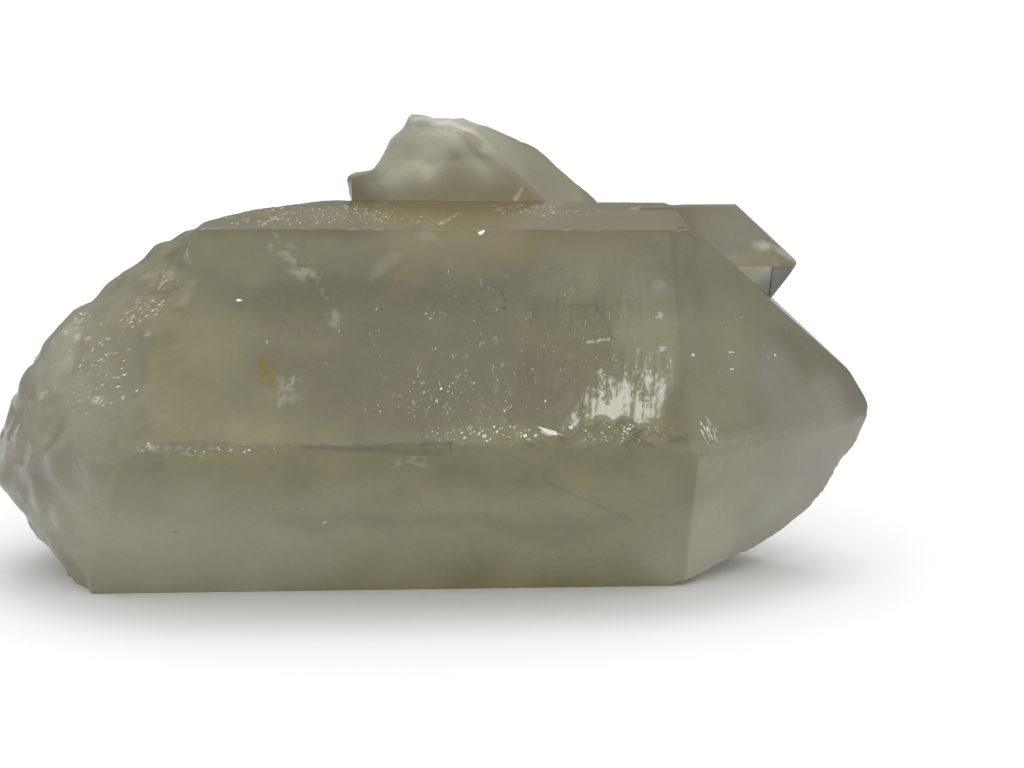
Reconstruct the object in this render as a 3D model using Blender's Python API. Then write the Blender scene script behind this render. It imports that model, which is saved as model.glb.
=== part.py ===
"""A quartz group: one large prism lying on a prism face, with two smaller crystals grown along it.

All three crystals share the long axis, +X. Each is a hexagonal prism closed by rhombohedral
faces. The large crystal's old end is broken away, the foot of its point is worn, and the edge
between its two front faces is chipped. The three are one solid. +Z is up, and -Y is the front.
Every number below is in millimetres or degrees; MM turns them into metres.
"""

import math
import random

import bmesh
import bpy
from mathutils import Matrix, Vector, noise

MM = 0.001

# Where each prism face looks, as an angle about the long axis, starting at the front.
FACE_ANGLES = {
    "front_upper": 30,
    "top": 90,
    "back_upper": 150,
    "back_lower": 210,
    "bottom": 270,
    "front_lower": 330,
}

# Each crystal: its axis (Y, Z), its turn about that axis, and where its old end is cut square.
# For each side: the prism face's distance from the axis, its taper per unit of length, and the
# rhombohedral face above it: the X where that crosses the axis, and its lean to the axis.
LARGE = {
    "axis": (39.5, 35.5),
    "turn": 0.0,
    "start": -6.0,
    "faces": {
        "front_upper": (34.0, 0.0143, 179.8, 38.2),
        "top": (38.1, 0.0143, 181.6, 42.5),
        "back_upper": (36.1, 0.0143, 183.0, 39.0),
        "back_lower": (34.4, 0.0100, 184.0, 38.2),
        "bottom": (35.5, 0.0, 205.0, 38.2),
        "front_lower": (35.3, 0.0, 185.0, 38.2),
    },
    "worn": (((178.4, 40.0, 36.7), (0.86, 0.05, 0.51)), ((180.0, 40.0, 31.0), (0.97, 0.05, -0.24))),
}
MIDDLE = {
    "axis": (52.5, 62.0),
    "turn": 0.0,
    "start": 131.0,
    "faces": {
        "front_upper": (8.8, 0.0, 169.2, 44.0),
        "top": (11.6, 0.0, 166.0, 43.0),
        "back_upper": (6.0, 0.0, 169.0, 42.0),
        "back_lower": (9.0, 0.0, 169.0, 38.2),
        "bottom": (10.0, 0.0, 167.0, 51.0),
        "front_lower": (8.8, 0.0, 171.3, 38.2),
    },
    "worn": (((166.2, 48.5, 61.2), (0.95, -0.2, 0.1)),),
}
SMALL = {
    "axis": (73.0, 79.0),
    "turn": -24.0,
    "start": 66.0,
    "faces": {
        "front_upper": (13.5, 0.0, 150.0, 38.2),
        "top": (14.0, 0.0, 115.3, 38.2),
        "back_upper": (5.5, 0.0, 121.0, 38.2),
        "back_lower": (8.5, 0.0, 132.0, 38.2),
        "bottom": (27.0, 0.0, 140.0, 38.2),
        "front_lower": (30.0, 0.0, 150.0, 38.2),
    },
    "worn": (),
}
TAPER_FROM = 100.0
STOCK = 400.0

QUARTZ_COLOUR = (0.52, 0.50, 0.38)
QUARTZ_ROUGHNESS = 0.15
QUARTZ_IOR = 1.544

# The place in these numbers that becomes the origin: under the middle of the group.
HOME = (90.05, 40.27, 0.0)

# The large crystal's broken end: at each height, how far along X the break stands, where across
# the crystal it stands out furthest, and how strongly it falls back from there to both sides.
OLD_END = (
    # height, X, furthest Y, fall
    (-4.0, 15.5, 36.0, 0.012),
    (2.0, 12.0, 39.0, 0.013),
    (8.0, 5.5, 42.0, 0.018),
    (18.0, -0.5, 42.0, 0.021),
    (24.0, -1.0, 42.0, 0.018),
    (31.0, 0.3, 42.0, 0.015),
    (41.0, 5.0, 42.0, 0.018),
    (51.0, 12.0, 42.0, 0.021),
    (61.0, 24.5, 42.0, 0.020),
    (67.0, 32.5, 39.0, 0.020),
    (74.0, 41.0, 22.0, 0.020),
    (80.0, 45.0, 20.0, 0.020),
)
OLD_END_LUMPS = ((17.0, 0.8), (4.0, 0.35))
OLD_END_SHELLS = ((15.0, 2.6), (7.0, 1.3))

# The small crystal's broken end: at each height, how far along X the break stands.
SMALL_END = ((60.0, 73.0), (76.5, 74.0), (79.0, 77.0), (85.5, 80.7), (92.0, 86.5), (96.0, 90.0))
SMALL_END_FALL = 0.35
SMALL_END_LUMPS = ((9.0, 0.7), (4.0, 0.45))
SMALL_END_SHELLS = ((8.0, 0.8),)

# The worn foot of the large point, from the flat underneath up to the tip: X and height.
FOOT = (
    (128.0, -8.0),
    (137.0, 0.3),
    (161.0, 6.6),
    (170.5, 12.5),
    (178.0, 20.8),
    (179.0, 25.6),
    (186.0, 33.0),
)
FOOT_MIDDLE = Vector((160.0, 30.0, 12.0))
FOOT_OUT = Vector((0.58, 0.0, -0.815)).normalized()
FOOT_ACROSS = Vector((0.815, 0.0, 0.58)).normalized()
FOOT_LUMPS = ((11.0, 0.4), (5.0, 0.3))
FOOT_SHELLS = ((7.0, 0.5),)

# The facets of every broken surface, across.
BREAK_CELL = 2.0

# Chips out of the edge between the two front faces and the face above it. Along each stretch of
# the edge: X from and to, how many, how far up the face they reach, their radius and their depth.
CHIPPED = (
    (45.0, 76.0, 4, 0.5, 3.5, 0.45),
    (92.0, 110.0, 5, 1.4, 3.8, 0.55),
    (112.0, 134.0, 9, 3.2, 5.0, 0.8),
    (136.0, 141.0, 3, 4.6, 5.6, 1.0),
)
CHIP_LONG = 1.35
CHIP_SEED = 5

# A ledge under that edge, a wedge that starts from nothing and ends in a step.
LEDGE_FROM = 62.0
LEDGE_TO = 91.0
LEDGE_DEPTH = 1.2
LEDGE_TALL = 2.4


def clear_scene():
    """Empties the scene of objects."""
    for thing in list(bpy.data.objects):
        bpy.data.objects.remove(thing, do_unlink=True)


def new_collection(name):
    """A new collection in the scene."""
    made = bpy.data.collections.new(name)
    bpy.context.scene.collection.children.link(made)
    return made


def as_object(bm, name, collection):
    """Turns a bmesh in millimetres into an object in metres, about the origin."""
    bmesh.ops.recalc_face_normals(bm, faces=bm.faces[:])
    bmesh.ops.translate(bm, vec=-Vector(HOME), verts=bm.verts[:])
    bmesh.ops.scale(bm, vec=(MM, MM, MM), verts=bm.verts[:])
    mesh = bpy.data.meshes.new(name)
    bm.to_mesh(mesh)
    bm.free()
    made = bpy.data.objects.new(name, mesh)
    collection.objects.link(made)
    return made


def between(rows, at):
    """Reads a table whose first column rises, straight between rows, at one value."""
    for low, high in zip(rows, rows[1:]):
        if at <= high[0]:
            break
    share = min(max((at - low[0]) / (high[0] - low[0]), 0.0), 1.0)
    return [a + (b - a) * share for a, b in zip(low[1:], high[1:])]


def rough(point, rounded, shells):
    """How deep a broken surface lies at a point: rounded lumps, and scoops that meet in ridges."""
    smooth = sum(deep * noise.noise(point / wide) for wide, deep in rounded)
    scooped = sum(deep * abs(noise.noise(point / wide)) for wide, deep in shells)
    return smooth + scooped


def cut_flat(bm, point, normal):
    """Cuts away what lies beyond a plane and closes the cut with one flat face."""
    everything = bm.verts[:] + bm.edges[:] + bm.faces[:]
    cut = bmesh.ops.bisect_plane(
        bm, geom=everything, plane_co=point, plane_no=normal, dist=1e-4, clear_outer=True
    )
    rim = [edge for edge in cut["geom_cut"] if isinstance(edge, bmesh.types.BMEdge)]
    if rim:
        bmesh.ops.contextual_create(bm, geom=rim)


def crystal(name, collection, shape):
    """A crystal along +X, cut from a block by its prism and rhombohedral faces."""
    bm = bmesh.new()
    bmesh.ops.create_cube(bm, size=STOCK)
    axis = Vector((0.0, *shape["axis"]))
    cut_flat(bm, (shape["start"], 0, 0), (-1, 0, 0))
    for face, (distance, taper, crossing, lean) in shape["faces"].items():
        angle = math.radians(FACE_ANGLES[face] + shape["turn"])
        outward = Vector((0.0, -math.cos(angle), math.sin(angle)))
        on_face = axis + outward * distance + Vector((TAPER_FROM, 0, 0))
        cut_flat(bm, on_face, outward + Vector((taper, 0, 0)))
        lean = math.radians(lean)
        leaning = outward * math.cos(lean) + Vector((math.sin(lean), 0, 0))
        cut_flat(bm, axis + Vector((crossing, 0, 0)), leaning)
    for point, normal in shape["worn"]:
        cut_flat(bm, point, normal)
    return as_object(bm, name, collection)


def breaker(name, collection, middle, outward, across, size, height):
    """A cutter whose inner side is a rough surface: height(point) out from a flat grid."""
    outward = Vector(outward).normalized()
    across = Vector(across).normalized()
    along = outward.cross(across)
    bm = bmesh.new()
    steps = [round(side / BREAK_CELL) for side in size]
    bmesh.ops.create_grid(bm, x_segments=steps[0], y_segments=steps[1], size=0.5)
    for vert in bm.verts:
        flat = Vector(middle) + across * (vert.co.x * size[0]) + along * (vert.co.y * size[1])
        vert.co = flat + outward * height(flat)
    pulled = bmesh.ops.extrude_face_region(bm, geom=bm.faces[:])
    rim = [vert for vert in pulled["geom"] if isinstance(vert, bmesh.types.BMVert)]
    for vert in rim:
        flat = vert.co - Vector(middle)
        vert.co += outward * (60.0 - flat.dot(outward))
    return as_object(bm, name, collection)


def old_end(point):
    """How far out the large crystal's broken end stands, on its +Y and +Z grid."""
    reach, furthest, fall = between(OLD_END, point.z)
    away = fall * (point.y - furthest) ** 2
    return -(reach + away + rough(point, OLD_END_LUMPS, OLD_END_SHELLS))


def small_end(point):
    """How far out the small crystal's broken end stands."""
    (reach,) = between(SMALL_END, point.z)
    front = SMALL["axis"][0] - SMALL["faces"]["front_upper"][0]
    away = SMALL_END_FALL * (point.y - front)
    return -(reach + away + rough(point, SMALL_END_LUMPS, SMALL_END_SHELLS))


def foot(point):
    """How far out the worn foot of the point stands."""
    rows = []
    for x, z in FOOT:
        spot = Vector((x, FOOT_MIDDLE.y, z)) - FOOT_MIDDLE
        rows.append((spot.dot(FOOT_ACROSS), spot.dot(FOOT_OUT)))
    (reach,) = between(rows, (point - FOOT_MIDDLE).dot(FOOT_ACROSS))
    return reach - rough(point, FOOT_LUMPS, FOOT_SHELLS)


def edge_frame(x):
    """The front edge's place at X, and the directions up the upper face and down the lower."""
    faces, axis = LARGE["faces"], LARGE["axis"]
    normals = []
    for face in ("front_upper", "front_lower"):
        angle = math.radians(FACE_ANGLES[face])
        reach = faces[face][0] - faces[face][1] * (x - TAPER_FROM)
        normals.append((Vector((0.0, -math.cos(angle), math.sin(angle))), reach))
    (upper, far), (lower, near) = normals
    turn = upper.y * lower.z - upper.z * lower.y
    y = (far * lower.z - near * upper.z) / turn
    z = (near * upper.y - far * lower.y) / turn
    place = Vector((x, axis[0] + y, axis[1] + z))
    up_upper = Vector((0.0, upper.z, -upper.y))
    down_lower = Vector((0.0, -lower.z, lower.y))
    return place, up_upper, down_lower, upper, lower


def chip(name, collection, x, up, radius, depth, spin):
    """One shell-shaped chip, as an ellipsoid cutter."""
    place, up_upper, _, upper, lower = edge_frame(x)
    out = upper if up > radius / 3.0 else (upper + lower).normalized()
    bm = bmesh.new()
    bmesh.ops.create_icosphere(bm, subdivisions=2, radius=radius)
    bmesh.ops.scale(bm, vec=(CHIP_LONG, 1.0, 1.0), verts=bm.verts[:])
    turn = Matrix.Rotation(spin, 4, "Z")
    tilt = Vector((0, 0, 1)).rotation_difference(out).to_matrix().to_4x4()
    lift = Matrix.Translation(place + up_upper * up + out * (radius - depth))
    bmesh.ops.transform(bm, matrix=lift @ tilt @ turn, verts=bm.verts[:])
    return as_object(bm, name, collection)


def chips(collection):
    """Every chip along the front edge."""
    dice = random.Random(CHIP_SEED)
    made = []
    for start, end, count, reach, radius, depth in CHIPPED:
        for number in range(count):
            x = start + (end - start) * (number + dice.uniform(0.2, 0.8)) / count
            up = reach * dice.random()
            wide = radius * dice.uniform(0.75, 1.1)
            deep = depth * dice.uniform(0.8, 1.2)
            spin = dice.uniform(0.0, math.pi)
            name = f"chip_{len(made):02d}"
            made.append(chip(name, collection, x, up, wide, deep, spin))
    return made


def ledge(collection):
    """The wedge cut under the front edge."""
    place, _, down_lower, _, lower = edge_frame(LEDGE_FROM)
    long = LEDGE_TO - LEDGE_FROM
    sink = Matrix.Rotation(math.atan2(LEDGE_DEPTH, long), 4, "Y")
    ramp = Matrix.Rotation(math.atan2(LEDGE_DEPTH, LEDGE_TALL), 4, "X")
    bm = bmesh.new()
    bmesh.ops.create_cube(bm, size=1.0)
    bmesh.ops.scale(bm, vec=(long, 8.0, 5.0), verts=bm.verts[:])
    bmesh.ops.translate(bm, vec=(0.5 * long, 4.0, 2.5), verts=bm.verts[:])
    own = Matrix((Vector((1, 0, 0)), down_lower, lower)).transposed().to_4x4()
    corner = Matrix.Translation(place + down_lower * 0.4)
    bmesh.ops.transform(bm, matrix=corner @ own @ sink @ ramp, verts=bm.verts[:])
    return as_object(bm, "ledge", collection)


def combine(target, other, operation):
    """Adds an exact Boolean, and shows the other object as a cutter."""
    other.hide_render = True
    other.display_type = "WIRE"
    step = target.modifiers.new(other.name, "BOOLEAN")
    step.operation = operation
    step.solver = "EXACT"
    step.object = other


def quartz():
    """Grey-green see-through quartz."""
    made = bpy.data.materials.new("quartz")
    made.use_nodes = True
    shader = made.node_tree.nodes["Principled BSDF"]
    shader.inputs["Base Color"].default_value = (*QUARTZ_COLOUR, 1.0)
    shader.inputs["Metallic"].default_value = 0.0
    shader.inputs["Roughness"].default_value = QUARTZ_ROUGHNESS
    shader.inputs["Transmission Weight"].default_value = 1.0
    shader.inputs["IOR"].default_value = QUARTZ_IOR
    return made


def main():
    clear_scene()
    group = new_collection("quartz_crystal")
    shaping = new_collection("shaping")
    large = crystal("quartz_crystal", group, LARGE)
    large.data.materials.append(quartz())
    middle = crystal("middle_crystal", shaping, MIDDLE)
    small = crystal("small_crystal", shaping, SMALL)
    back, across = (-1, 0, 0), (0, 1, 0)
    small_break = breaker("small_break", shaping, (0, 75, 72), back, across, (64, 64), small_end)
    old_break = breaker("old_break", shaping, (0, 40, 37), back, across, (96, 84), old_end)
    foot_break = breaker(
        "foot_break", shaping, FOOT_MIDDLE, FOOT_OUT, FOOT_ACROSS, (60, 84), foot
    )
    combine(small, small_break, "DIFFERENCE")
    combine(large, old_break, "DIFFERENCE")
    for other in (middle, small):
        combine(large, other, "UNION")
    for cutter in (foot_break, *chips(shaping), ledge(shaping)):
        combine(large, cutter, "DIFFERENCE")


main()
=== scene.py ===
"""A cluster of quartz: a long crystal, broken off at its left end, with two smaller ones grown onto it."""

import logging
import math
from dataclasses import dataclass, field
from enum import Enum
from typing import Any, Iterable, Sequence, Union

import bmesh
import bpy
import numpy as np
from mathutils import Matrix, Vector, noise
from mathutils.geometry import delaunay_2d_cdt
from mathutils.kdtree import KDTree


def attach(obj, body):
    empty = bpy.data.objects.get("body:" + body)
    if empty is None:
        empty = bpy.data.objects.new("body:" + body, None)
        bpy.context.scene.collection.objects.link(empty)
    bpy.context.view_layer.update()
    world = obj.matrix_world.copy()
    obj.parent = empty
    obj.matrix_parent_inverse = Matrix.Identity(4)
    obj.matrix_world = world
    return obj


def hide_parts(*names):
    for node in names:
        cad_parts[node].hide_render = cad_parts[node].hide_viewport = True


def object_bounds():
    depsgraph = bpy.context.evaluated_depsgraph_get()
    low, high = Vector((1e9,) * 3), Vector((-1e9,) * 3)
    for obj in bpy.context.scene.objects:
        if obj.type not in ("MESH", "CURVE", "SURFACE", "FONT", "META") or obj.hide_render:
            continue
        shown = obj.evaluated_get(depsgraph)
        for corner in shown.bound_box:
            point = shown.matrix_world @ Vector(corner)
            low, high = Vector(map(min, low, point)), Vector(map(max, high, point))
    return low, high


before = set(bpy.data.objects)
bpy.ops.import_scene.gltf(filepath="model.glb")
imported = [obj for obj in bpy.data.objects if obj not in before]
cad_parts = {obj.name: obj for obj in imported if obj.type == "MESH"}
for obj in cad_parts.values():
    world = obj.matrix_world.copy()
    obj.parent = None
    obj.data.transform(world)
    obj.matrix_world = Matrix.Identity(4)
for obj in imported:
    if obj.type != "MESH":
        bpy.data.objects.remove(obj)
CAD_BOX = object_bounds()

MM = 0.001
log = logging.getLogger("quartz")

Triple = tuple[float, float, float]


# ---------------------------------------------------------------------------
# Shader maths
# ---------------------------------------------------------------------------


class Wire:
    """The output socket of a node, which can stand in a Python expression on values."""

    def __init__(self, graph: "Graph", socket: bpy.types.NodeSocket) -> None:
        """Keeps the socket and the graph that new Math nodes go into."""
        self.graph = graph
        self.socket = socket

    def __add__(self, other: "Value") -> "Wire":
        """self + other."""
        return self.graph.math("ADD", self, other)

    def __radd__(self, other: "Value") -> "Wire":
        """other + self."""
        return self.graph.math("ADD", other, self)

    def __sub__(self, other: "Value") -> "Wire":
        """self - other."""
        return self.graph.math("SUBTRACT", self, other)

    def __rsub__(self, other: "Value") -> "Wire":
        """other - self."""
        return self.graph.math("SUBTRACT", other, self)

    def __mul__(self, other: "Value") -> "Wire":
        """self * other."""
        return self.graph.math("MULTIPLY", self, other)

    def __rmul__(self, other: "Value") -> "Wire":
        """other * self."""
        return self.graph.math("MULTIPLY", other, self)


Value = Union[Wire, float]


class Graph:
    """A node tree, with one method that adds any node and a few for the patterns that quartz needs."""

    def __init__(self, owner: Union[bpy.types.Material, bpy.types.World]) -> None:
        """Empties the owner's tree, ready for its nodes."""
        owner.use_nodes = True
        self.tree = owner.node_tree
        self.tree.nodes.clear()

    def add(
        self, kind: str, settings: dict[str, Any], sockets: dict[Union[str, int], Any]
    ) -> bpy.types.Node:
        """Adds a node.

        Args:
            kind: the node's type without its "ShaderNode" prefix.
            settings: the node's own properties, which are set first.
            sockets: a value or a Wire for each input, by name or place.

        Returns:
            The new node.
        """
        node = self.tree.nodes.new("ShaderNode" + kind)
        for name, value in settings.items():
            setattr(node, name, value)
        for name, value in sockets.items():
            if isinstance(value, Wire):
                self.tree.links.new(value.socket, node.inputs[name])
            else:
                node.inputs[name].default_value = value
        return node

    def wire(self, node: bpy.types.Node, output: Union[str, int] = 0) -> Wire:
        """One output of a node, as a Wire."""
        return Wire(self, node.outputs[output])

    def math(self, operation: str, *values: Value) -> Wire:
        """A Math node on one to three values."""
        return self.wire(self.add("Math", {"operation": operation}, dict(enumerate(values))))

    def scaled(self, vector: Wire, factor: Value) -> Wire:
        """A vector or a colour times one number."""
        return self.wire(self.add("VectorMath", {"operation": "SCALE"}, {0: vector, "Scale": factor}))

    def kept(self, name: str, output: str) -> Wire:
        """What the mesh's attribute of that name says."""
        return self.wire(self.add("Attribute", {"attribute_name": name}, {}), output)

    def place(self) -> Wire:
        """The place on the object, in mm."""
        return self.scaled(self.wire(self.add("TexCoord", {}, {}), "Object"), 1 / MM)

    def step(self, value: Wire, low: float, high: float) -> Wire:
        """0 below low, 1 above high and smooth between."""
        sockets = {"Value": value, "From Min": low, "From Max": high}
        return self.wire(self.add("MapRange", {"interpolation_type": "SMOOTHSTEP"}, sockets))

    def noise(self, place: Wire, pitch: float, rough: float = 0.5) -> Wire:
        """Soft noise from 0 to 1 whose lumps are about pitch apart, in the units of place."""
        sockets = {"Vector": place, "Scale": 1 / pitch, "Detail": 2.0, "Roughness": rough}
        return self.wire(self.add("TexNoise", {"noise_dimensions": "3D"}, sockets), "Fac")


# ---------------------------------------------------------------------------
# Places and tones, in mm
# ---------------------------------------------------------------------------


def smooth_step(values: np.ndarray, zero: float, one: float) -> np.ndarray:
    """0 up to zero, 1 from one on and smooth between; zero may be the larger one."""
    share = np.clip((values - zero) / (one - zero), 0.0, 1.0)
    return share * share * (3 - 2 * share)


def turned(x: np.ndarray, z: np.ndarray, turn: float) -> tuple[np.ndarray, np.ndarray]:
    """x and z along axes that are turned by so many radians, the first one upwards at its right end."""
    return x * math.cos(turn) + z * math.sin(turn), z * math.cos(turn) - x * math.sin(turn)


def soft_noise(points: np.ndarray, pitch: Union[float, Triple], octaves: int) -> np.ndarray:
    """Soft noise from about -1 to 1 at each of the points, whose lumps are about pitch apart."""
    return np.array([noise.fractal(p, 1.0, 2.0, octaves) for p in (points / np.array(pitch)).tolist()])


@dataclass(frozen=True)
class Mottle:
    """Soft uneven changes.

    Attributes:
        pitch: how far apart its lumps are, or how far along X, Y and Z, in mm.
        octaves: how many ever finer layers it has.
        strength: how far it goes either way.
    """

    pitch: Union[float, Triple]
    octaves: int
    strength: float = 1.0

    def at(self, points: np.ndarray) -> np.ndarray:
        """The change at each of the points."""
        return self.strength * soft_noise(points, self.pitch, self.octaves)


def segment_distance(points: np.ndarray, starts: np.ndarray, ends: np.ndarray) -> np.ndarray:
    """How far each point is from the nearest of the segments.

    Args:
        points: the points, one a row.
        starts: the segments' first ends.
        ends: the segments' last ends.

    Returns:
        One distance for each point.
    """
    least = np.full(len(points), np.inf)
    for start, end in zip(starts, ends):
        along = end - start
        share = np.clip((points - start) @ along / max(along @ along, 1e-12), 0.0, 1.0)
        away = np.linalg.norm(points - start - share[:, None] * along, axis=1)
        np.minimum(least, away, out=least)
    return least


def enclosed(points: np.ndarray, starts: np.ndarray, ends: np.ndarray) -> np.ndarray:
    """Which points are inside the outline that the segments make.

    Args:
        points: the points, one a row.
        starts: the segments' first ends.
        ends: the segments' last ends.

    Returns:
        True for each point from which a line to the right crosses the outline an odd number of times.
    """
    inside = np.zeros(len(points), dtype=bool)
    for (x0, y0), (x1, y1) in zip(starts, ends):
        if y0 == y1:
            continue
        spans = (points[:, 1] > min(y0, y1)) & (points[:, 1] <= max(y0, y1))
        crossing = x0 + (points[:, 1] - y0) * (x1 - x0) / (y1 - y0)
        inside ^= spans & (crossing > points[:, 0])
    return inside


@dataclass(frozen=True)
class Spot:
    """An oval place.

    Attributes:
        centre: its middle.
        reach: its half sizes along X, Y and Z, before it is turned.
        lift: the turn about Y, in degrees, that lifts its right end.
        fade: the share of its reach over which it fades out.
    """

    centre: Triple
    reach: Triple
    lift: float = 0.0
    fade: float = 0.6

    def mask(self, points: np.ndarray, margin: float = 0.0) -> np.ndarray:
        """1 in its middle, 0 outside, at each of the points; margin makes it larger."""
        x, y, z = (points - np.array(self.centre)).T
        x, z = turned(x, z, math.radians(self.lift))
        wide, deep, high = (max(r + margin, 1e-3) for r in self.reach)
        out = np.sqrt((x / wide) ** 2 + (y / deep) ** 2 + (z / high) ** 2)
        return smooth_step(out, 1.0, 1.0 - self.fade)

    def circle(self) -> tuple[Vector, float, float]:
        """The middle and radius of a ball round it, and how fine its outline is."""
        return Vector(self.centre), max(self.reach), 0.35 * min(self.reach[0], self.reach[2])


@dataclass(frozen=True)
class Line:
    """A straight thin place between two ends."""

    start: Triple
    end: Triple
    width: float
    fade: float = 0.7

    def mask(self, points: np.ndarray, margin: float = 0.0) -> np.ndarray:
        """1 along the line, 0 beyond its width, at each of the points; margin makes it wider."""
        away = segment_distance(points, np.array([self.start]), np.array([self.end]))
        width = max(self.width + margin, 1e-3)
        return smooth_step(away, width, width * (1 - self.fade))

    def circle(self) -> tuple[Vector, float, float]:
        """The middle and radius of a ball round it, and how fine its outline is."""
        start, end = Vector(self.start), Vector(self.end)
        return (start + end) / 2, (end - start).length / 2 + self.width, 0.7 * self.width


@dataclass(frozen=True)
class Patch:
    """A place with straight sides, drawn from the front.

    Attributes:
        corners: its corners' X and Z.
        depths: the least and the greatest Y that it covers.
        fade: how wide its faded rim is, in mm.
    """

    corners: tuple[tuple[float, float], ...]
    depths: tuple[float, float]
    fade: float = 0.6

    def mask(self, points: np.ndarray, margin: float = 0.0) -> np.ndarray:
        """1 inside, 0 outside, at each of the points; margin makes it larger."""
        starts = np.array(self.corners)
        ends = np.roll(starts, -1, axis=0)
        flat = points[:, [0, 2]]
        away = segment_distance(flat, starts, ends)
        signed = np.where(enclosed(flat, starts, ends), away, -away) + margin
        deep = (points[:, 1] > self.depths[0] - margin) & (points[:, 1] < self.depths[1] + margin)
        return smooth_step(signed, 0.0, self.fade) * deep

    def circle(self) -> tuple[Vector, float, float]:
        """The middle and radius of a ball round it, and how fine its outline is."""
        flat = np.array(self.corners)
        (x, z), y = flat.mean(axis=0), sum(self.depths) / 2
        wide = float(np.linalg.norm(flat - flat.mean(axis=0), axis=1).max())
        return Vector((x, y, z)), math.hypot(wide, (self.depths[1] - self.depths[0]) / 2), self.fade


Place = Union[Spot, Line, Patch]


class Outline(Enum):
    """How uneven a tint's outline is: the pitch and the reach of its wandering."""

    EVEN = (1.0, 0.0)
    DRIFTING = (14.0, 5.0)
    RAGGED = (1.7, 0.9)
    FINE = (0.8, 0.3)


@dataclass(frozen=True)
class Tint:
    """A tone laid over the body colour; some tints are real marks, others painted light or shade.

    Attributes:
        where: the places that have it.
        colour: its base colour.
        share: how much of it shows.
        outline: how uneven its outline is.
        cover: how much of it the fine cloudiness leaves, from 0 to 1, or None for all of it.
        facing: the way the skin must face to have it, or None for any way.
    """

    where: tuple[Place, ...]
    colour: Triple
    share: float
    outline: Outline = Outline.DRIFTING
    cover: Union[float, None] = None
    facing: Union[Triple, None] = None


def tinted(colour: Triple, share: float, *where: Place, **options: Any) -> Tint:
    """A tint of some places; the options are a Tint's last three."""
    return Tint(where, colour, share, **options)


@dataclass(frozen=True)
class Fleck:
    """A small facet with its own colour and shine.

    Attributes:
        place: its middle.
        size: how far it reaches across its length.
        long: how many times longer than wide it is.
        lift: how far its right end is turned up, in degrees.
        colour: its base colour.
        shine: how far it shines like a small crack inside.
    """

    place: Triple
    size: float
    long: float
    lift: float
    colour: Triple
    shine: float


FLECK_SIZES = (0.35, 1.0)
FLECK_STRENGTHS = (0.3, 1.0)
FLECK_LENGTHS = (0.6, 1.4)
FLECK_TURN = 40.0


@dataclass(frozen=True)
class Strewn:
    """Places strewn with flecks.

    Attributes:
        where: the places.
        colours: the colours that the flecks take by turns.
        density: how many there are to a square mm.
        size: how large the largest are.
        long: how many times longer than wide they are.
        lift: how far their right ends are turned up, in degrees.
        shine: the greatest shine.
    """

    where: tuple[Place, ...]
    colours: tuple[Triple, ...]
    density: float
    size: float
    long: float = 1.8
    lift: float = 0.0
    shine: float = 1.0

    def flecks(self, spots: np.ndarray, dice: np.random.Generator) -> list[Fleck]:
        """Makes flecks with chance sizes, turns and shines.

        Args:
            spots: their places, one a row.
            dice: where the chance comes from.

        Returns:
            A fleck for each spot.
        """
        found = []
        for spot in spots:
            size = self.size * dice.uniform(*FLECK_SIZES) ** 1.5
            turn = self.lift + dice.uniform(-1, 1) * FLECK_TURN / max(self.long, 1)
            colour = np.array(self.colours[int(dice.integers(len(self.colours)))])
            full = dice.uniform(*FLECK_STRENGTHS) ** 1.3
            mixed = tuple((np.array(BODY) * (1 - full) + colour * full).tolist())
            long = self.long * dice.uniform(*FLECK_LENGTHS)
            found.append(Fleck(tuple(spot), size, long, turn, mixed, self.shine * full))
        return found


def strewn(
    colours: tuple[Triple, ...], density: float, size: float, *where: Place, **options: float
) -> Strewn:
    """Strewn places; the options are a Strewn's last three."""
    return Strewn(where, colours, density, size, **options)


HONEY: Triple = (0.33, 0.26, 0.11)
SMOKE: Triple = (0.17, 0.15, 0.09)
MILK: Triple = (0.62, 0.62, 0.52)
FROST: Triple = (0.80, 0.82, 0.74)
LILAC: Triple = (0.42, 0.40, 0.36)
PALE_GREEN: Triple = (0.42, 0.44, 0.33)
OCHRE: Triple = (0.24, 0.165, 0.0)
ROSE: Triple = (0.55, 0.36, 0.27)
SOOT: Triple = (0.05, 0.05, 0.03)
ICE: Triple = (0.74, 0.76, 0.74)
UMBER: Triple = (0.02, 0.017, 0.01)
BODY: Triple = (0.285, 0.27, 0.145)
AMBER: Triple = (0.50, 0.38, 0.20)
PEARL: Triple = (0.97, 0.94, 0.74)
GOLD: Triple = (1.0, 0.82, 0.50)
SILVER: Triple = (0.96, 0.97, 0.90)

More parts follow.
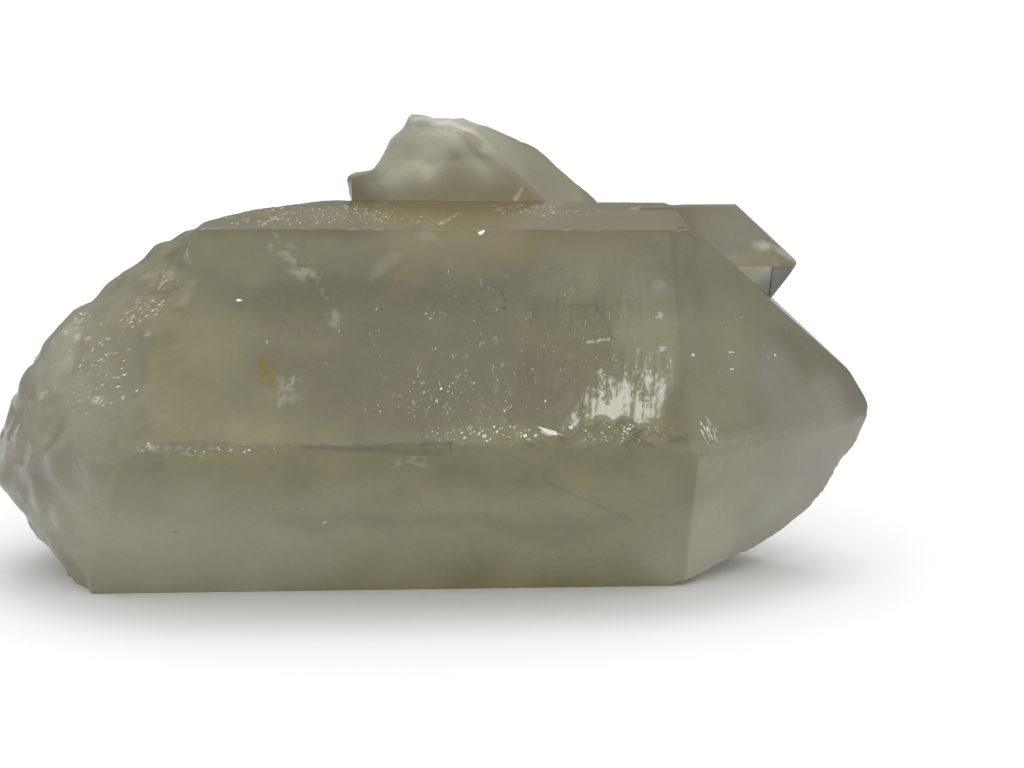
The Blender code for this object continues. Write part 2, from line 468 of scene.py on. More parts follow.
BROAD_TINTS: tuple[Tint, ...] = (
    # Painted light: the broken left end, the lower front faces and the lower right tip are made paler, for
    # light that comes through the thin ends and up from the floor.
    tinted(LILAC, 0.6, Spot((-80, -12, 36), (34, 60, 60), fade=0.8)),
    tinted(MILK, 0.52, Spot((-56, -30, 8), (60, 44, 26), fade=0.9)),
    tinted(MILK, 0.3, Spot((0, -30, 13), (95, 17, 20), fade=0.7)),
    tinted(LILAC, 0.5, Spot((82, -8, 22), (34, 40, 24), fade=0.8)),
    tinted(MILK, 0.85, Spot((60, -22, 4), (26, 34, 24), fade=0.8)),
    tinted(SMOKE, 0.25, Spot((-63, -24, 50), (13, 14, 15))),
    tinted(FROST, 0.3, Spot((-77, -9, 47), (9, 10, 9))),
    tinted(PALE_GREEN, 0.8, Spot((0, 26, 86), (26, 22, 16), fade=0.4)),
    # Painted light on the third crystal's top.
    tinted(FROST, 0.35, Spot((0, 30, 90), (22, 12, 9), fade=0.5)),
    tinted(PALE_GREEN, 0.6, Spot((-10, 22, 78), (8, 8, 6), fade=0.6), outline=Outline.EVEN),
    # Painted light over the dark bands that refraction makes on the third crystal's front face.
    tinted(MILK, 0.25, Spot((5, 19.4, 79), (17, 4, 6))),
    tinted(PEARL, 0.75, Spot((2, 20, 84), (18, 6, 8), fade=0.7)),
    tinted(MILK, 0.4, Spot((-9, 19, 77), (8, 4, 5), fade=0.8)),
    # Painted shade on the third crystal's right side.
    tinted(SMOKE, 0.3, Spot((24, 26, 82), (13, 20, 16), fade=0.5)),
    tinted(LILAC, 0.5, Spot((62, 12, 66), (16, 14, 14), fade=0.6)),
    tinted(PALE_GREEN, 0.3, Spot((40, -28, 54), (10, 12, 16), fade=0.6)),
    tinted(SMOKE, 0.55, Spot((-6, -28, 54), (42, 16, 21), fade=0.4)),
    tinted(SMOKE, 0.72, Spot((-4, -34, 46), (54, 14, 14), fade=0.5)),
    tinted(SMOKE, 0.2, Spot((-84, -16, 24), (14, 16, 16), fade=0.8)),
    # Painted shade: the top face is made darker than the light from above leaves it.
    tinted(SMOKE, 0.5, Spot((0, 0, 74), (80, 32, 8), fade=0.5)),
    tinted(SMOKE, 0.5, Spot((34, 2, 74), (28, 20, 5), fade=0.7),
           Spot((-36, -1, 74), (18, 22, 6), fade=0.7)),
    tinted(SMOKE, 0.3, Spot((11, -31, 51), (15, 7, 9), fade=0.9)),
    tinted(HONEY, 0.6, Spot((10, 0, 74), (84, 30, 8), fade=0.6)),
    tinted(HONEY, 0.6, Spot((-2, -6, 74), (26, 14, 6), fade=0.7)),
    tinted(HONEY, 0.6, Spot((-8, -22, 63), (5, 8, 12), fade=0.8), Spot((14, -19, 70), (8, 8, 8), fade=0.8)),
    tinted(SMOKE, 0.26, Line((-30, -31, 17.2), (34, -30, 16.4), 4.0)),
    # Painted shade on the tip face along the front face's right edge.
    tinted(SMOKE, 0.35, Line((51, -16, 69), (50.5, -22, 58), 3.5)),
    tinted(AMBER, 0.15, Spot((-59.5, -19.5, 59), (9, 9, 6)), Spot((-73, -6, 52.5), (7, 9, 6))),
)

FINE_TINTS: tuple[Tint, ...] = (
    # The phantom: an older growth surface inside, browner than the rest.
    tinted(SMOKE, 0.4, Spot((-14, -26, 58), (30, 8, 8.0), lift=-6, fade=0.2), outline=Outline.RAGGED),
    tinted(SMOKE, 0.35, Line((-42, -26.8, 60), (-33, -24.6, 63.2), 1.1), outline=Outline.RAGGED),
    tinted(MILK, 0.3, Line((-25, -24, 64.6), (-20, -27.6, 58), 1.0), outline=Outline.RAGGED, cover=0.6),
    # The haze that falls from the top face, and the veils.
    tinted(MILK, 0.25, Line((4, -2, 74), (-1, -12, 74), 1.2), Line((-1, -18, 73), (-18, -24.4, 63.8), 1.6)),
    tinted(MILK, 0.65, Line((-34, -19.5, 72.2), (-27, -23.2, 66), 2.4), outline=Outline.RAGGED, cover=0.5),
    tinted(MILK, 0.4, Spot((-21.6, -27.5, 58), (1.9, 2.5, 3.4)), outline=Outline.RAGGED, cover=0.5),
    tinted(PALE_GREEN, 0.5, Spot((-31, -35.5, 45), (4.5, 3.5, 6.5)), outline=Outline.RAGGED, cover=0.6),
    tinted(MILK, 0.45, Line((-29.5, -33.8, 47.5), (-33.5, -38, 40.4), 0.5), outline=Outline.RAGGED),
    tinted(MILK, 0.6, Spot((-7, -38.7, 30.2), (4.4, 3, 2.8)), outline=Outline.RAGGED, cover=0.5),
    tinted(MILK, 0.5, Spot((-48, -40, 34), (17, 4, 2.6)), outline=Outline.RAGGED, cover=0.3),
    tinted(MILK, 0.5, Spot((-74, -5, 53), (5, 8, 5)), Spot((-82, -12, 43), (4, 7, 6)),
         outline=Outline.RAGGED, cover=0.45),
    # Marks on the front face: the lobe of late growth, patches near its right end, dark cracks and a ring.
    tinted(SMOKE, 0.75, Line((25.3, -26, 59.4), (30.6, -26, 59.5), 0.4),
         Line((30.6, -26, 59.5), (32.9, -27.8, 56), 0.55),
         Line((32.9, -27.8, 56), (33.2, -29.2, 53.5), 0.55), outline=Outline.FINE),
    tinted(FROST, 0.9, Line((28.8, -29.8, 52.8), (32.8, -29.5, 53.3), 0.4), outline=Outline.FINE,
           cover=0.8),
    # Right of the front face's right end a flake has come off; from there to the tip the skin is painted
    # darker, as shade on the tip face.
    tinted(SMOKE, 0.36,
         Patch(((43.2, 34), (43.2, 38), (43.6, 40.5), (44.8, 43), (47, 46.5), (46.9, 57), (46.3, 69),
                (45.6, 74), (98, 74), (98, 34)), (-45, 0), 0.25),
         outline=Outline.FINE),
    tinted(LILAC, 0.8, Spot((43.6, -23.6, 63), (1.8, 2, 1.2), fade=0.4), outline=Outline.FINE),
    tinted(FROST, 0.7, Spot((43.6, -30.6, 51.3), (2.0, 2, 0.8)), Spot((43, -27, 57.5), (1.6, 2, 0.9)),
         outline=Outline.FINE, cover=0.6),
    tinted(SOOT, 0.8, Line((7.0, -25.6, 60.5), (8.9, -27.2, 57.7), 0.3),
         Line((11.9, -24.6, 62.2), (13, -25.9, 60), 0.3),
         Spot((12.3, -26.4, 59.2), (0.55, 0.6, 0.5), fade=0.3), outline=Outline.FINE),
    tinted(SMOKE, 0.7, Spot((15.5, -28, 56), (4, 4, 4)), Spot((-20, -35, 46), (9, 6, 7)),
         outline=Outline.RAGGED, cover=0.12),
    # The dark line above the front edge of the top face, painted shade in its groove; the shadow under the
    # ledge; and a scratch.
    tinted(SMOKE, 0.6, Line((8, -17.6, 73.6), (28.6, -16.6, 73.4), 0.5),
         Line((28.6, -16.6, 73.4), (46, -17.6, 73), 0.7), Line((46, -17.6, 73), (50, -15.8, 72.2), 0.5),
         Line((50, -15.8, 72.2), (53, -14.3, 69.8), 0.4), outline=Outline.EVEN),
    tinted(SMOKE, 0.7, Line((-28, -41, 34.4), (-1, -39.8, 32.7), 0.9), outline=Outline.EVEN),
    tinted(SMOKE, 0.6, Line((19.9, -35.9, 25.7), (38.6, -30.2, 15.9), 0.3), outline=Outline.EVEN),
    tinted(SMOKE, 0.35, Line((-70, -31.7, 25.8), (-56, -38.8, 30.7), 1.3), outline=Outline.RAGGED),
    # The right tip: the dark band along its top, painted shade from its inner reflections, with a paler one
    # below, its mottled ridge and a rosy patch.
    tinted(SMOKE, 0.38,
         Patch(((66, 53), (69.8, 46.4), (73, 43), (76.6, 40), (81.7, 35.3), (84.6, 32.3), (92, 31),
                (92, 38), (80, 48)), (-30, 14), 0.8),
         outline=Outline.FINE),
    tinted(LILAC, 0.55, Spot((70, -18, 39), (17, 14, 9), lift=-38, fade=0.9),
         Spot((79, -10, 36), (9, 10, 8), lift=-40, fade=0.8)),
    tinted(LILAC, 0.35, Line((53, -36, 32.2), (72.8, -18.5, 31.6), 1.6, 0.9), outline=Outline.RAGGED),
    tinted(ROSE, 0.7, Spot((67.3, -14.8, 46.6), (2.2, 2.5, 1.8)), outline=Outline.RAGGED, cover=0.35),
    # The two smaller crystals.
    # Painted light on the middle crystal's lower face, over the dark of its inner reflections.
    tinted(ICE, 0.95, Patch(((58.0, 64.4), (70.2, 64.0), (70.2, 52.0), (58.0, 52.0)), (-4, 9)),
         outline=Outline.EVEN, facing=(0, -0.87, -0.5)),
    # Painted shade on the middle crystal's lower right face.
    tinted(UMBER, 0.9, Patch(((68.0, 64.0), (80.0, 64.4), (80.0, 52.0), (66.6, 52.0)), (-4, 18)),
         outline=Outline.EVEN, facing=(0.62, -0.68, -0.39)),
    tinted(FROST, 0.75, Line((65, 3.0, 67.5), (76, 8.4, 62.6), 1.5, 0.8), outline=Outline.FINE),
    tinted(FROST, 0.8, Line((19.3, 18.7, 76.3), (17.8, 18.7, 73.8), 0.5), outline=Outline.EVEN),
    tinted(HONEY, 0.35, Line((9.5, 19.5, 84.5), (21, 18.8, 75), 2.6)),
    # Painted light: paler patches on the third crystal's top.
    tinted(FROST, 0.4, Spot((2, 26, 90), (16, 14, 5)), Spot((-6, 24, 86), (9, 8, 6)),
         Spot((-11, 22, 79), (4, 6, 5)), outline=Outline.RAGGED, cover=0.7),
    # Glints on the broken end.
    tinted(FROST, 0.8, Spot((-73.2, -11.4, 51.2), (1.9, 2.5, 1.2), lift=25),
         Spot((-70.6, -14.9, 51.9), (1.2, 2, 0.6), lift=20),
         Spot((-58.2, -40.9, 34.7), (1.5, 2, 1.0), lift=20),
         Spot((-68.8, -26.9, 41.4), (1.6, 2, 0.6), lift=20), Spot((-58.3, -25.2, 54.3), (0.9, 2, 0.8)),
         Spot((-80.1, -14.5, 39.9), (1.6, 2, 0.6), lift=20), Spot((-79.0, -11.0, 44.6), (0.9, 2, 0.9)),
         outline=Outline.FINE, cover=0.8),
    tinted(AMBER, 0.8, Spot((-59.7, -3.2, 64.6), (1.2, 3, 0.6), lift=-15),
         Spot((-63.0, -19.3, 55.5), (2.0, 2, 1.0), lift=25),
         Spot((-66.3, -14.8, 55.7), (1.6, 2, 0.6), lift=20), Spot((-55.5, -17.8, 63.3), (1.0, 2, 0.6)),
         Spot((-60.6, -17.5, 59.5), (1.6, 2, 0.7), lift=25), outline=Outline.FINE, cover=0.8),
    # Yellow-ochre stains.
    tinted(OCHRE, 1.0,
         Patch(((-37.1, 50.0), (-36.4, 51.0), (-35.2, 50.7), (-35.0, 49.7), (-34.6, 49.4),
                (-33.5, 49.8), (-32.6, 49.1), (-33.9, 47.8), (-33.2, 46.5), (-34.0, 44.9), (-36.7, 46.3),
                (-36.3, 47.9)), (-37, -31), 0.3),
         outline=Outline.FINE, cover=1.0),
    tinted(OCHRE, 0.6, Spot((-40.4, -37.5, 41.2), (1.1, 1.2, 1.0)), Spot((-85.9, -13.9, 26), (2.6, 3, 1.6)),
         outline=Outline.RAGGED, cover=0.6),
)

STREWN: tuple[Strewn, ...] = (
    strewn((SILVER, MILK, MILK), 1.0, 0.28, Spot((7, -40, 36.4), (17, 3, 2.0)),
           Spot((-58.6, -40.8, 34.5), (2.8, 3, 1.8)), Spot((-41, -40.8, 34.3), (3.4, 3, 1.8)),
           Spot((-46, -40.8, 34.3), (18, 3, 1.2)), Spot((-1.9, -27.2, 58), (1.6, 2, 1.6)),
           lift=35, shine=0.9),
    strewn((SILVER, MILK, PALE_GREEN), 0.7, 0.22, Spot((4, -36, 43), (22, 7, 10), fade=0.9),
           long=2.0, lift=60, shine=0.7),
    strewn((SILVER, MILK, SMOKE, SILVER), 2.2, 0.95, Spot((33, -38.9, 36.0), (15, 3, 2.2), fade=0.3),
           long=3.2, lift=-25, shine=0.9),
    strewn((SILVER,), 1.6, 0.4, Spot((52.4, -34.8, 35.6), (3.2, 4, 3.4)), long=3.6, lift=-55, shine=0.9),
    strewn((GOLD, SILVER, SILVER), 1.3, 0.32, Spot((-74, -5, 52.5), (5, 8, 4.5)),
           Spot((-59.5, -19.5, 58), (7, 7, 4.5)), Spot((-55, -17.5, 64), (4, 5, 3)),
           Spot((-80.4, -13.7, 40.2), (3.5, 5, 1.8)), Spot((-67.7, -27.7, 41.6), (3, 4, 1.5)),
           long=2.4, lift=22),
    strewn((GOLD, SILVER, SILVER), 0.45, 0.3, Spot((-68, -20, 46), (17, 15, 14), fade=0.9),
           long=2.4, lift=22),
    strewn((GOLD,), 0.4, 0.4, Spot((-32, -2, 74), (20, 16, 3)), Spot((-12, 2, 74), (16, 18, 3), fade=0.9),
           Spot((22, 7, 73.5), (14, 10, 3)), long=3.2, lift=90, shine=0.95),
    strewn((GOLD,), 3.0, 0.42, Line((0.5, -11, 73.8), (5, 3, 73.8), 0.9),
           Line((-36, -14, 74), (-33, -6, 74), 0.9), long=4.0, lift=75),
    strewn((SOOT,), 0.08, 0.2, Spot((4, -34, 24), (18, 9, 11)), Spot((40, -30, 18), (12, 8, 8)),
           long=1.2, shine=0.0),
    strewn((MILK, SMOKE), 0.12, 0.22, Spot((6, -30, 52), (50, 16, 22), fade=0.4), lift=80, shine=0.3),
    # Painted highlight: thin pale near-vertical streaks where the upper front face shines.
    strewn((MILK, PALE_GREEN), 0.14, 0.12, Spot((28, -28, 50), (20, 16, 16), fade=0.5),
           long=8.0, lift=86, shine=0.05),
    strewn((MILK, LILAC), 0.05, 0.24, Spot((64, -20, 46), (18, 20, 16), fade=0.5),
           long=2.4, lift=20, shine=0.2),
)

FLECKS: tuple[Fleck, ...] = (
    Fleck((-40.4, -26, 61.2), 0.34, 2.4, 6, SILVER, 1.0),
    Fleck((8.2, -18.4, 73.1), 0.5, 1.6, 10, SILVER, 1.0),
    Fleck((58.6, -21.4, 48.7), 0.22, 5.0, 10, FROST, 0.5),
    Fleck((58.6, -23.3, 45.6), 0.2, 5.0, 12, FROST, 0.4),
    Fleck((50.0, -28.8, 49.7), 0.4, 1.4, 20, FROST, 0.6),
    Fleck((68.7, -13.6, 46.4), 0.35, 1.4, 20, FROST, 0.5),
    Fleck((-23.9, -30.6, 16.6), 0.4, 2.0, 20, FROST, 0.3),
)


FINE_STREAKS = Mottle((0.36, 30, 9), 1, 1.7)
BROAD_STREAKS = Mottle((1.1, 30, 5), 1, 0.3)
STREAK_LEAN = 0.1


@dataclass(frozen=True)
class Sheen:
    """The skin's clear outer gloss; part of the upper front face shines in near-vertical streaks.

    Attributes:
        general: the gloss of most of the skin.
        dull: the gloss round the streaked part.
        around: that dull place.
        streaked: the outline of the streaked part.
        matt: the front edge of the top face, which has no gloss.
        matt_core: how wide the part of it without any gloss is.
        low: the height up to which the streaked part shines almost all over.
        high: the height where only the strongest streaks are left.
        fullness: how full of streaks it is up to the low height.
        thinning: how much less full it is from the high one on.
        streak_rim: from where to where a streak's gloss sets in.
        facing_up: from where to where a normal's Z counts as facing up.
        facing_up_loss: the share of gloss that skin loses there.
    """

    general: float = 0.45
    dull: float = 0.07
    around: Patch = Patch(((10, 34), (16, 62), (50, 62), (50, 34)), (-45, -22), 3.0)
    streaked: Patch = Patch(
        ((22.0, 36.6), (24.4, 40.6), (27.8, 44.0), (30.2, 48.0), (30.9, 53.2), (33.5, 53.0), (45.8, 51.0),
         (46.6, 46.4), (44.2, 42.6), (42.8, 40.0), (43.0, 36.4)), (-45, -22), 1.0,
    )
    matt: Line = Line((-46, -18.8, 73.7), (48, -18.6, 73.3), 1.4)
    matt_core: float = 0.3
    low: float = 39.5
    high: float = 55.0
    fullness: float = 0.52
    thinning: float = 1.2
    streak_rim: tuple[float, float] = (-0.1, 0.5)
    facing_up: tuple[float, float] = (0.6, 0.72)
    facing_up_loss: float = 0.75

    @staticmethod
    def streaks(points: np.ndarray) -> np.ndarray:
        """The fine near-vertical lines at each of the points, round 0."""
        leaning = points - np.outer(points[:, 2] * STREAK_LEAN, (1, 0, 0))
        return FINE_STREAKS.at(leaning) + BROAD_STREAKS.at(leaning)

    def weights(self, points: np.ndarray, normals: np.ndarray) -> np.ndarray:
        """Works out the gloss; skin that faces up has little.

        Args:
            points: the skin's points, in mm.
            normals: the way each one faces.

        Returns:
            The gloss at each of the points.
        """
        gloss = self.general + (self.dull - self.general) * self.around.mask(points)
        inside = self.streaked.mask(points)
        chosen = np.flatnonzero(inside > 0)
        near = points[chosen]
        grade = self.fullness - self.thinning * smooth_step(near[:, 2], self.low, self.high)
        shine = smooth_step(self.streaks(near) + grade, *self.streak_rim) * inside[chosen]
        gloss[chosen] += (1.0 - gloss[chosen]) * shine
        along = np.array([self.matt.start]), np.array([self.matt.end])
        gloss *= smooth_step(segment_distance(points, *along), self.matt_core, self.matt.width)
        return gloss * (1 - self.facing_up_loss * smooth_step(normals[:, 2], *self.facing_up))


# ---------------------------------------------------------------------------
# Finishes
# ---------------------------------------------------------------------------


@dataclass(frozen=True)
class QuartzFinish:
    """Greyish olive quartz that lets light through; its tones and shines are kept on the mesh."""

    name: str = "quartz"
    body: Triple = BODY
    refraction: float = 1.544
    clearness: float = 0.56
    roughness: float = 0.25
    rougher: float = 0.1
    coat_roughness: float = 0.06
    absorbed: Triple = (0.30, 0.30, 0.05)
    density: float = 9.0
    grain_pitch: float = 0.9
    grain_depth: float = 0.12
    grain_tone: float = 0.24

    def make(self) -> bpy.types.Material:
        """Builds the material.

        Returns:
            The finished material.
        """
        material = bpy.data.materials.new(self.name)
        graph = Graph(material)
        tone = graph.kept("tone", "Color")
        fracture, sparkle, gloss = (graph.kept(name, "Fac") for name in ("fracture", "sparkle", "gloss"))
        grain = graph.noise(graph.place(), self.grain_pitch, 0.65)
        height = grain * (0.1 + fracture * 0.8)
        bump = graph.add("Bump", {}, {"Strength": 0.5, "Distance": self.grain_depth * MM, "Height": height})
        shader = graph.add(
            "BsdfPrincipled",
            {},
            {
                "Base Color": graph.scaled(tone, (1 - self.grain_tone / 2) + grain * self.grain_tone),
                "Metallic": sparkle,
                "Roughness": self.roughness + grain * self.rougher + fracture * self.rougher,
                "IOR": self.refraction,
                "Transmission Weight": self.clearness,
                "Coat Weight": gloss,
                "Coat Roughness": self.coat_roughness,
                "Normal": graph.wire(bump),
            },
        )
        inside = graph.add("VolumeAbsorption", {}, {"Color": (*self.absorbed, 1), "Density": self.density})
        ends = {"Surface": graph.wire(shader, "BSDF"), "Volume": graph.wire(inside, "Volume")}
        graph.add("OutputMaterial", {}, ends)
        return material


class Painting:
    """Works out the tones and shines of a mesh and keeps them on it for the finish.

    Attributes:
        cast: what every tone is multiplied by.
        slow: the body colour's slow changes.
        quick: its quick ones.
        rows: the rows of light and dark on broken surface.
        rows_rise: how far they rise to the right, in radians.
        cloud: the fine cloudiness that thins some tints.
        cloud_rim: how softly it does.
        scored: where the upper front face's streaks change the tone, a painted highlight in its colour.
        painted_highlight_streaks: how much the painted highlight's streaks lighten and darken the colour.
        painted_highlight_gloss: how much lighter the painted highlight makes the colour where the gloss is
            high.
        least_facing: how nearly a face must look the way that a tint asks for.
        fracture_rounds: how far the breaks' roughness spreads.
        fracture_loss: the gloss that it takes away.
    """

    cast: Triple = (1.0, 0.985, 0.93)
    slow = Mottle(12.0, 4, 0.2)
    quick = Mottle(2.4, 3, 0.09)
    rows = Mottle((5.0, 3.0, 0.9), 2, 0.12)
    rows_rise = math.radians(22)
    cloud = Mottle(1.7, 3)
    cloud_rim = 0.25
    scored = Spot((31, -29, 52), (19, 18, 20), fade=0.4)
    painted_highlight_streaks = 0.16
    painted_highlight_gloss = 0.25
    least_facing = 0.9
    fracture_rounds = 8
    fracture_loss = 0.15

    def __init__(self, mesh: bpy.types.Mesh, body: Triple) -> None:
        """Reads the mesh's points, in mm."""
        self.mesh = mesh
        self.body = np.array(body)
        flat = np.empty(len(mesh.vertices) * 3, dtype=np.float32)
        mesh.vertices.foreach_get("co", flat)
        self.points = flat.reshape(-1, 3).astype(float) / MM
        mesh.vertices.foreach_get("normal", flat)
        self.normals = flat.reshape(-1, 3).astype(float)
        self.wandered: dict[Outline, np.ndarray] = {Outline.EVEN: self.points}

    def moved(self, outline: Outline) -> np.ndarray:
        """The points as an uneven outline sees them."""
        if outline not in self.wandered:
            pitch, reach = outline.value
            shifts = [noise.turbulence_vector(p, 2, False) for p in (self.points / pitch).tolist()]
            self.wandered[outline] = self.points + np.array(shifts) * reach
        return self.wandered[outline]

    def tones(
        self, fracture: np.ndarray, gloss: np.ndarray, corners: np.ndarray, owner: np.ndarray
    ) -> np.ndarray:
        """The base colour of each face corner: the body colour with its changes, a painted highlight in
        streaks on the upper front face, and each tint in turn.

        Args:
            fracture: how broken the surface is at each point.
            gloss: the gloss at each point.
            corners: the point at each face corner.
            owner: the face of each face corner.

        Returns:
            One colour for each face corner.
        """
        normals = np.empty(len(self.mesh.polygons) * 3, dtype=np.float32)
        self.mesh.polygons.foreach_get("normal", normals)
        normals = normals.reshape(-1, 3)[owner]
        tone = self.body * (1 + self.slow.at(self.points) + self.quick.at(self.points))[:, None]
        tone *= (1 + self.rows.at(self.sloped()) * fracture)[:, None]
        # Painted highlight: the colour is lighter in streaks where the lamp shines on the upper front face,
        # and darker between them.
        streaks = self.painted_highlight_streaks * Sheen.streaks(self.points) + self.painted_highlight_gloss * (gloss - 0.4)
        tone *= (1 + self.scored.mask(self.points) * streaks)[:, None]
        tone = tone[corners]
        cloud = self.cloud.at(self.points)
        for tint in (*BROAD_TINTS, *FINE_TINTS):
            places = self.moved(tint.outline)
            mask = np.max([shape.mask(places) for shape in tint.where], axis=0)
            if tint.cover is not None:
                limit = 0.5 - 0.9 * tint.cover
                mask = mask * smooth_step(cloud, limit, limit + self.cloud_rim)
            mask = mask[corners] * tint.share
            if tint.facing is not None:
                mask = mask * (normals @ np.array(tint.facing) > self.least_facing)
            tone += (np.array(tint.colour) - tone) * mask[:, None]
        return tone * np.array(self.cast)

    def sloped(self) -> np.ndarray:
        """The points turned so that X runs along the broken end's rows, which rise to the right."""
        x, y, z = self.points.T
        return np.column_stack((*turned(x, z, self.rows_rise), y))[:, [0, 2, 1]]

    def softened(self, values: np.ndarray, rounds: int) -> np.ndarray:
        """Spreads values out along the mesh's edges.

        Args:
            values: one for each point.
            rounds: how many edges far.

        Returns:
            The softer values.
        """
        ends = np.empty(len(self.mesh.edges) * 2, dtype=np.int32)
        self.mesh.edges.foreach_get("vertices", ends)
        first, last = ends.reshape(-1, 2).T
        count = np.bincount(ends, minlength=len(values))
        for _ in range(rounds):
            total = np.bincount(first, values[last], len(values))
            total += np.bincount(last, values[first], len(values))
            values = 0.5 * values + 0.5 * total / np.maximum(count, 1)
        return values

    def keep(self, name: str, kind: str, domain: str, values: np.ndarray) -> None:
        """Puts one attribute on the mesh."""
        attribute = self.mesh.attributes.new(name, kind, domain)
        field_name = "color" if "COLOR" in kind else "value"
        attribute.data.foreach_set(field_name, values.astype(np.float32).ravel())

    def paint(self, broken: np.ndarray, flecks: np.ndarray, known: Sequence[Fleck]) -> None:
        """Puts all the attributes on the mesh.

        Args:
            broken: True for each face of broken surface.
            flecks: for each face, 0 or one more than the place of its fleck in known.
            known: the flecks.
        """
        corners = np.empty(len(self.mesh.loops), dtype=np.int32)
        self.mesh.loops.foreach_get("vertex_index", corners)
        sizes = np.empty(len(self.mesh.polygons), dtype=np.int32)
        self.mesh.polygons.foreach_get("loop_total", sizes)
        owner = np.repeat(np.arange(len(sizes)), sizes)
        number = len(self.points)
        share = np.bincount(corners, broken[owner].astype(float), number)
        share = share / np.bincount(corners, minlength=number)
        fracture = self.softened(share, self.fracture_rounds)
        gloss = Sheen().weights(self.points, self.normals) - self.fracture_loss * fracture
        tones = self.tones(fracture, gloss, corners, owner)
        colours = np.array([(0, 0, 0), *(f.colour for f in known)])
        shines = np.array([0.0, *(f.shine for f in known)])
        chosen = flecks[owner] > 0
        tones[chosen] = colours[flecks[owner][chosen]]
        self.keep("tone", "FLOAT_COLOR", "CORNER", np.column_stack((tones, np.ones(len(tones)))))
        self.keep("fracture", "FLOAT", "POINT", fracture)
        self.keep("sparkle", "FLOAT", "FACE", shines[flecks])
        self.keep("gloss", "FLOAT", "POINT", gloss)


@dataclass(frozen=True)
class FloorFinish:
    """A plain, pale, matt surface."""

    name: str = "pale_floor"
    colour: Triple = (0.9, 0.9, 0.9)

    def make(self) -> bpy.types.Material:
        """Builds the material, with a faint grain.

        Returns:
            The finished material.
        """
        material = bpy.data.materials.new(self.name)
        graph = Graph(material)
        ends = {6: (*self.colour, 1), 7: (*(c * 0.98 for c in self.colour), 1)}
        grained = graph.add("Mix", {"data_type": "RGBA"}, {0: graph.noise(graph.place(), 3.0), **ends})
        shader = graph.add("BsdfPrincipled", {}, {"Base Color": graph.wire(grained, 2), "Roughness": 0.8})
        graph.add("OutputMaterial", {}, {"Surface": graph.wire(shader, "BSDF")})
        return material


# ---------------------------------------------------------------------------
# The crystals
# ---------------------------------------------------------------------------


def divided(place: Vector, pitches: Triple) -> Vector:
    """A place with X, Y and Z each divided by its own pitch."""
    return Vector([c / pitch for c, pitch in zip(place, pitches)])


def points_of(verts: Sequence[bmesh.types.BMVert]) -> np.ndarray:
    """Where the points of a mesh are, in mm, one a row."""
    return np.array([v.co[:] for v in verts]) / MM


def add_object(name: str, data: Any) -> bpy.types.Object:
    """Puts an object with the given mesh, lamp or camera in the scene."""
    made = bpy.data.objects.new(name, data)
    bpy.context.scene.collection.objects.link(made)
    return made


class Skin(Enum):
    """What a face of the crystals' skin is."""

    BREAK = 0
    CRYSTAL = 1


@dataclass(frozen=True)
class WornEdge:
    """An outward edge between two crystal faces, and how much of it is gone.

    Attributes:
        start: one end, in metres.
        end: the other end.
        outward: the unit vector half way between the two faces' normals.
        lean: the sine of the angle between outward and either normal.
    """

    start: Vector
    end: Vector
    outward: Vector
    lean: float

    def nearest(self, points: np.ndarray) -> np.ndarray:
        """The place on the edge that is nearest to each of the points."""
        along = np.array(self.end - self.start)
        share = np.clip((points - np.array(self.start)) @ along / (along @ along), 0.0, 1.0)
        return np.array(self.start) + share[:, None] * along


@dataclass(frozen=True)
class Wear:
    """Where the edges are worn more than elsewhere, in mm.

    Attributes:
        low: the least X, Y and Z.
        high: the greatest X, Y and Z.
        even: how deep the even part of the wear is.
        depth: how deep the uneven part is.
        pitch: how coarse the uneven part is.
    """

    low: Triple
    high: Triple
    even: float
    depth: float
    pitch: float

    def inside(self, spot: Vector) -> float:
        """How far the spot is within the limits, from 0 to 1 over 3 mm."""
        away = min(min(c - a, b - c) for a, c, b in zip(self.low, spot, self.high))
        return min(max(away / 3, 0), 1)

    def lost(self, spot: Vector, point: Vector) -> float:
        """How deep it is at a spot on an edge, for a point of the skin near it."""
        inside = self.inside(spot)
        if inside <= 0:
            return 0.0
        bite = 0.35 + 0.65 * noise.noise(spot / self.pitch) + 0.25 * noise.noise(point / 0.8)
        return inside * (self.even + self.depth * bite)


@dataclass(frozen=True)
class Bulge:
    """A soft push on the skin: where it is, and how far it goes along X, Y and Z, in mm."""

    where: Spot
    push: Triple


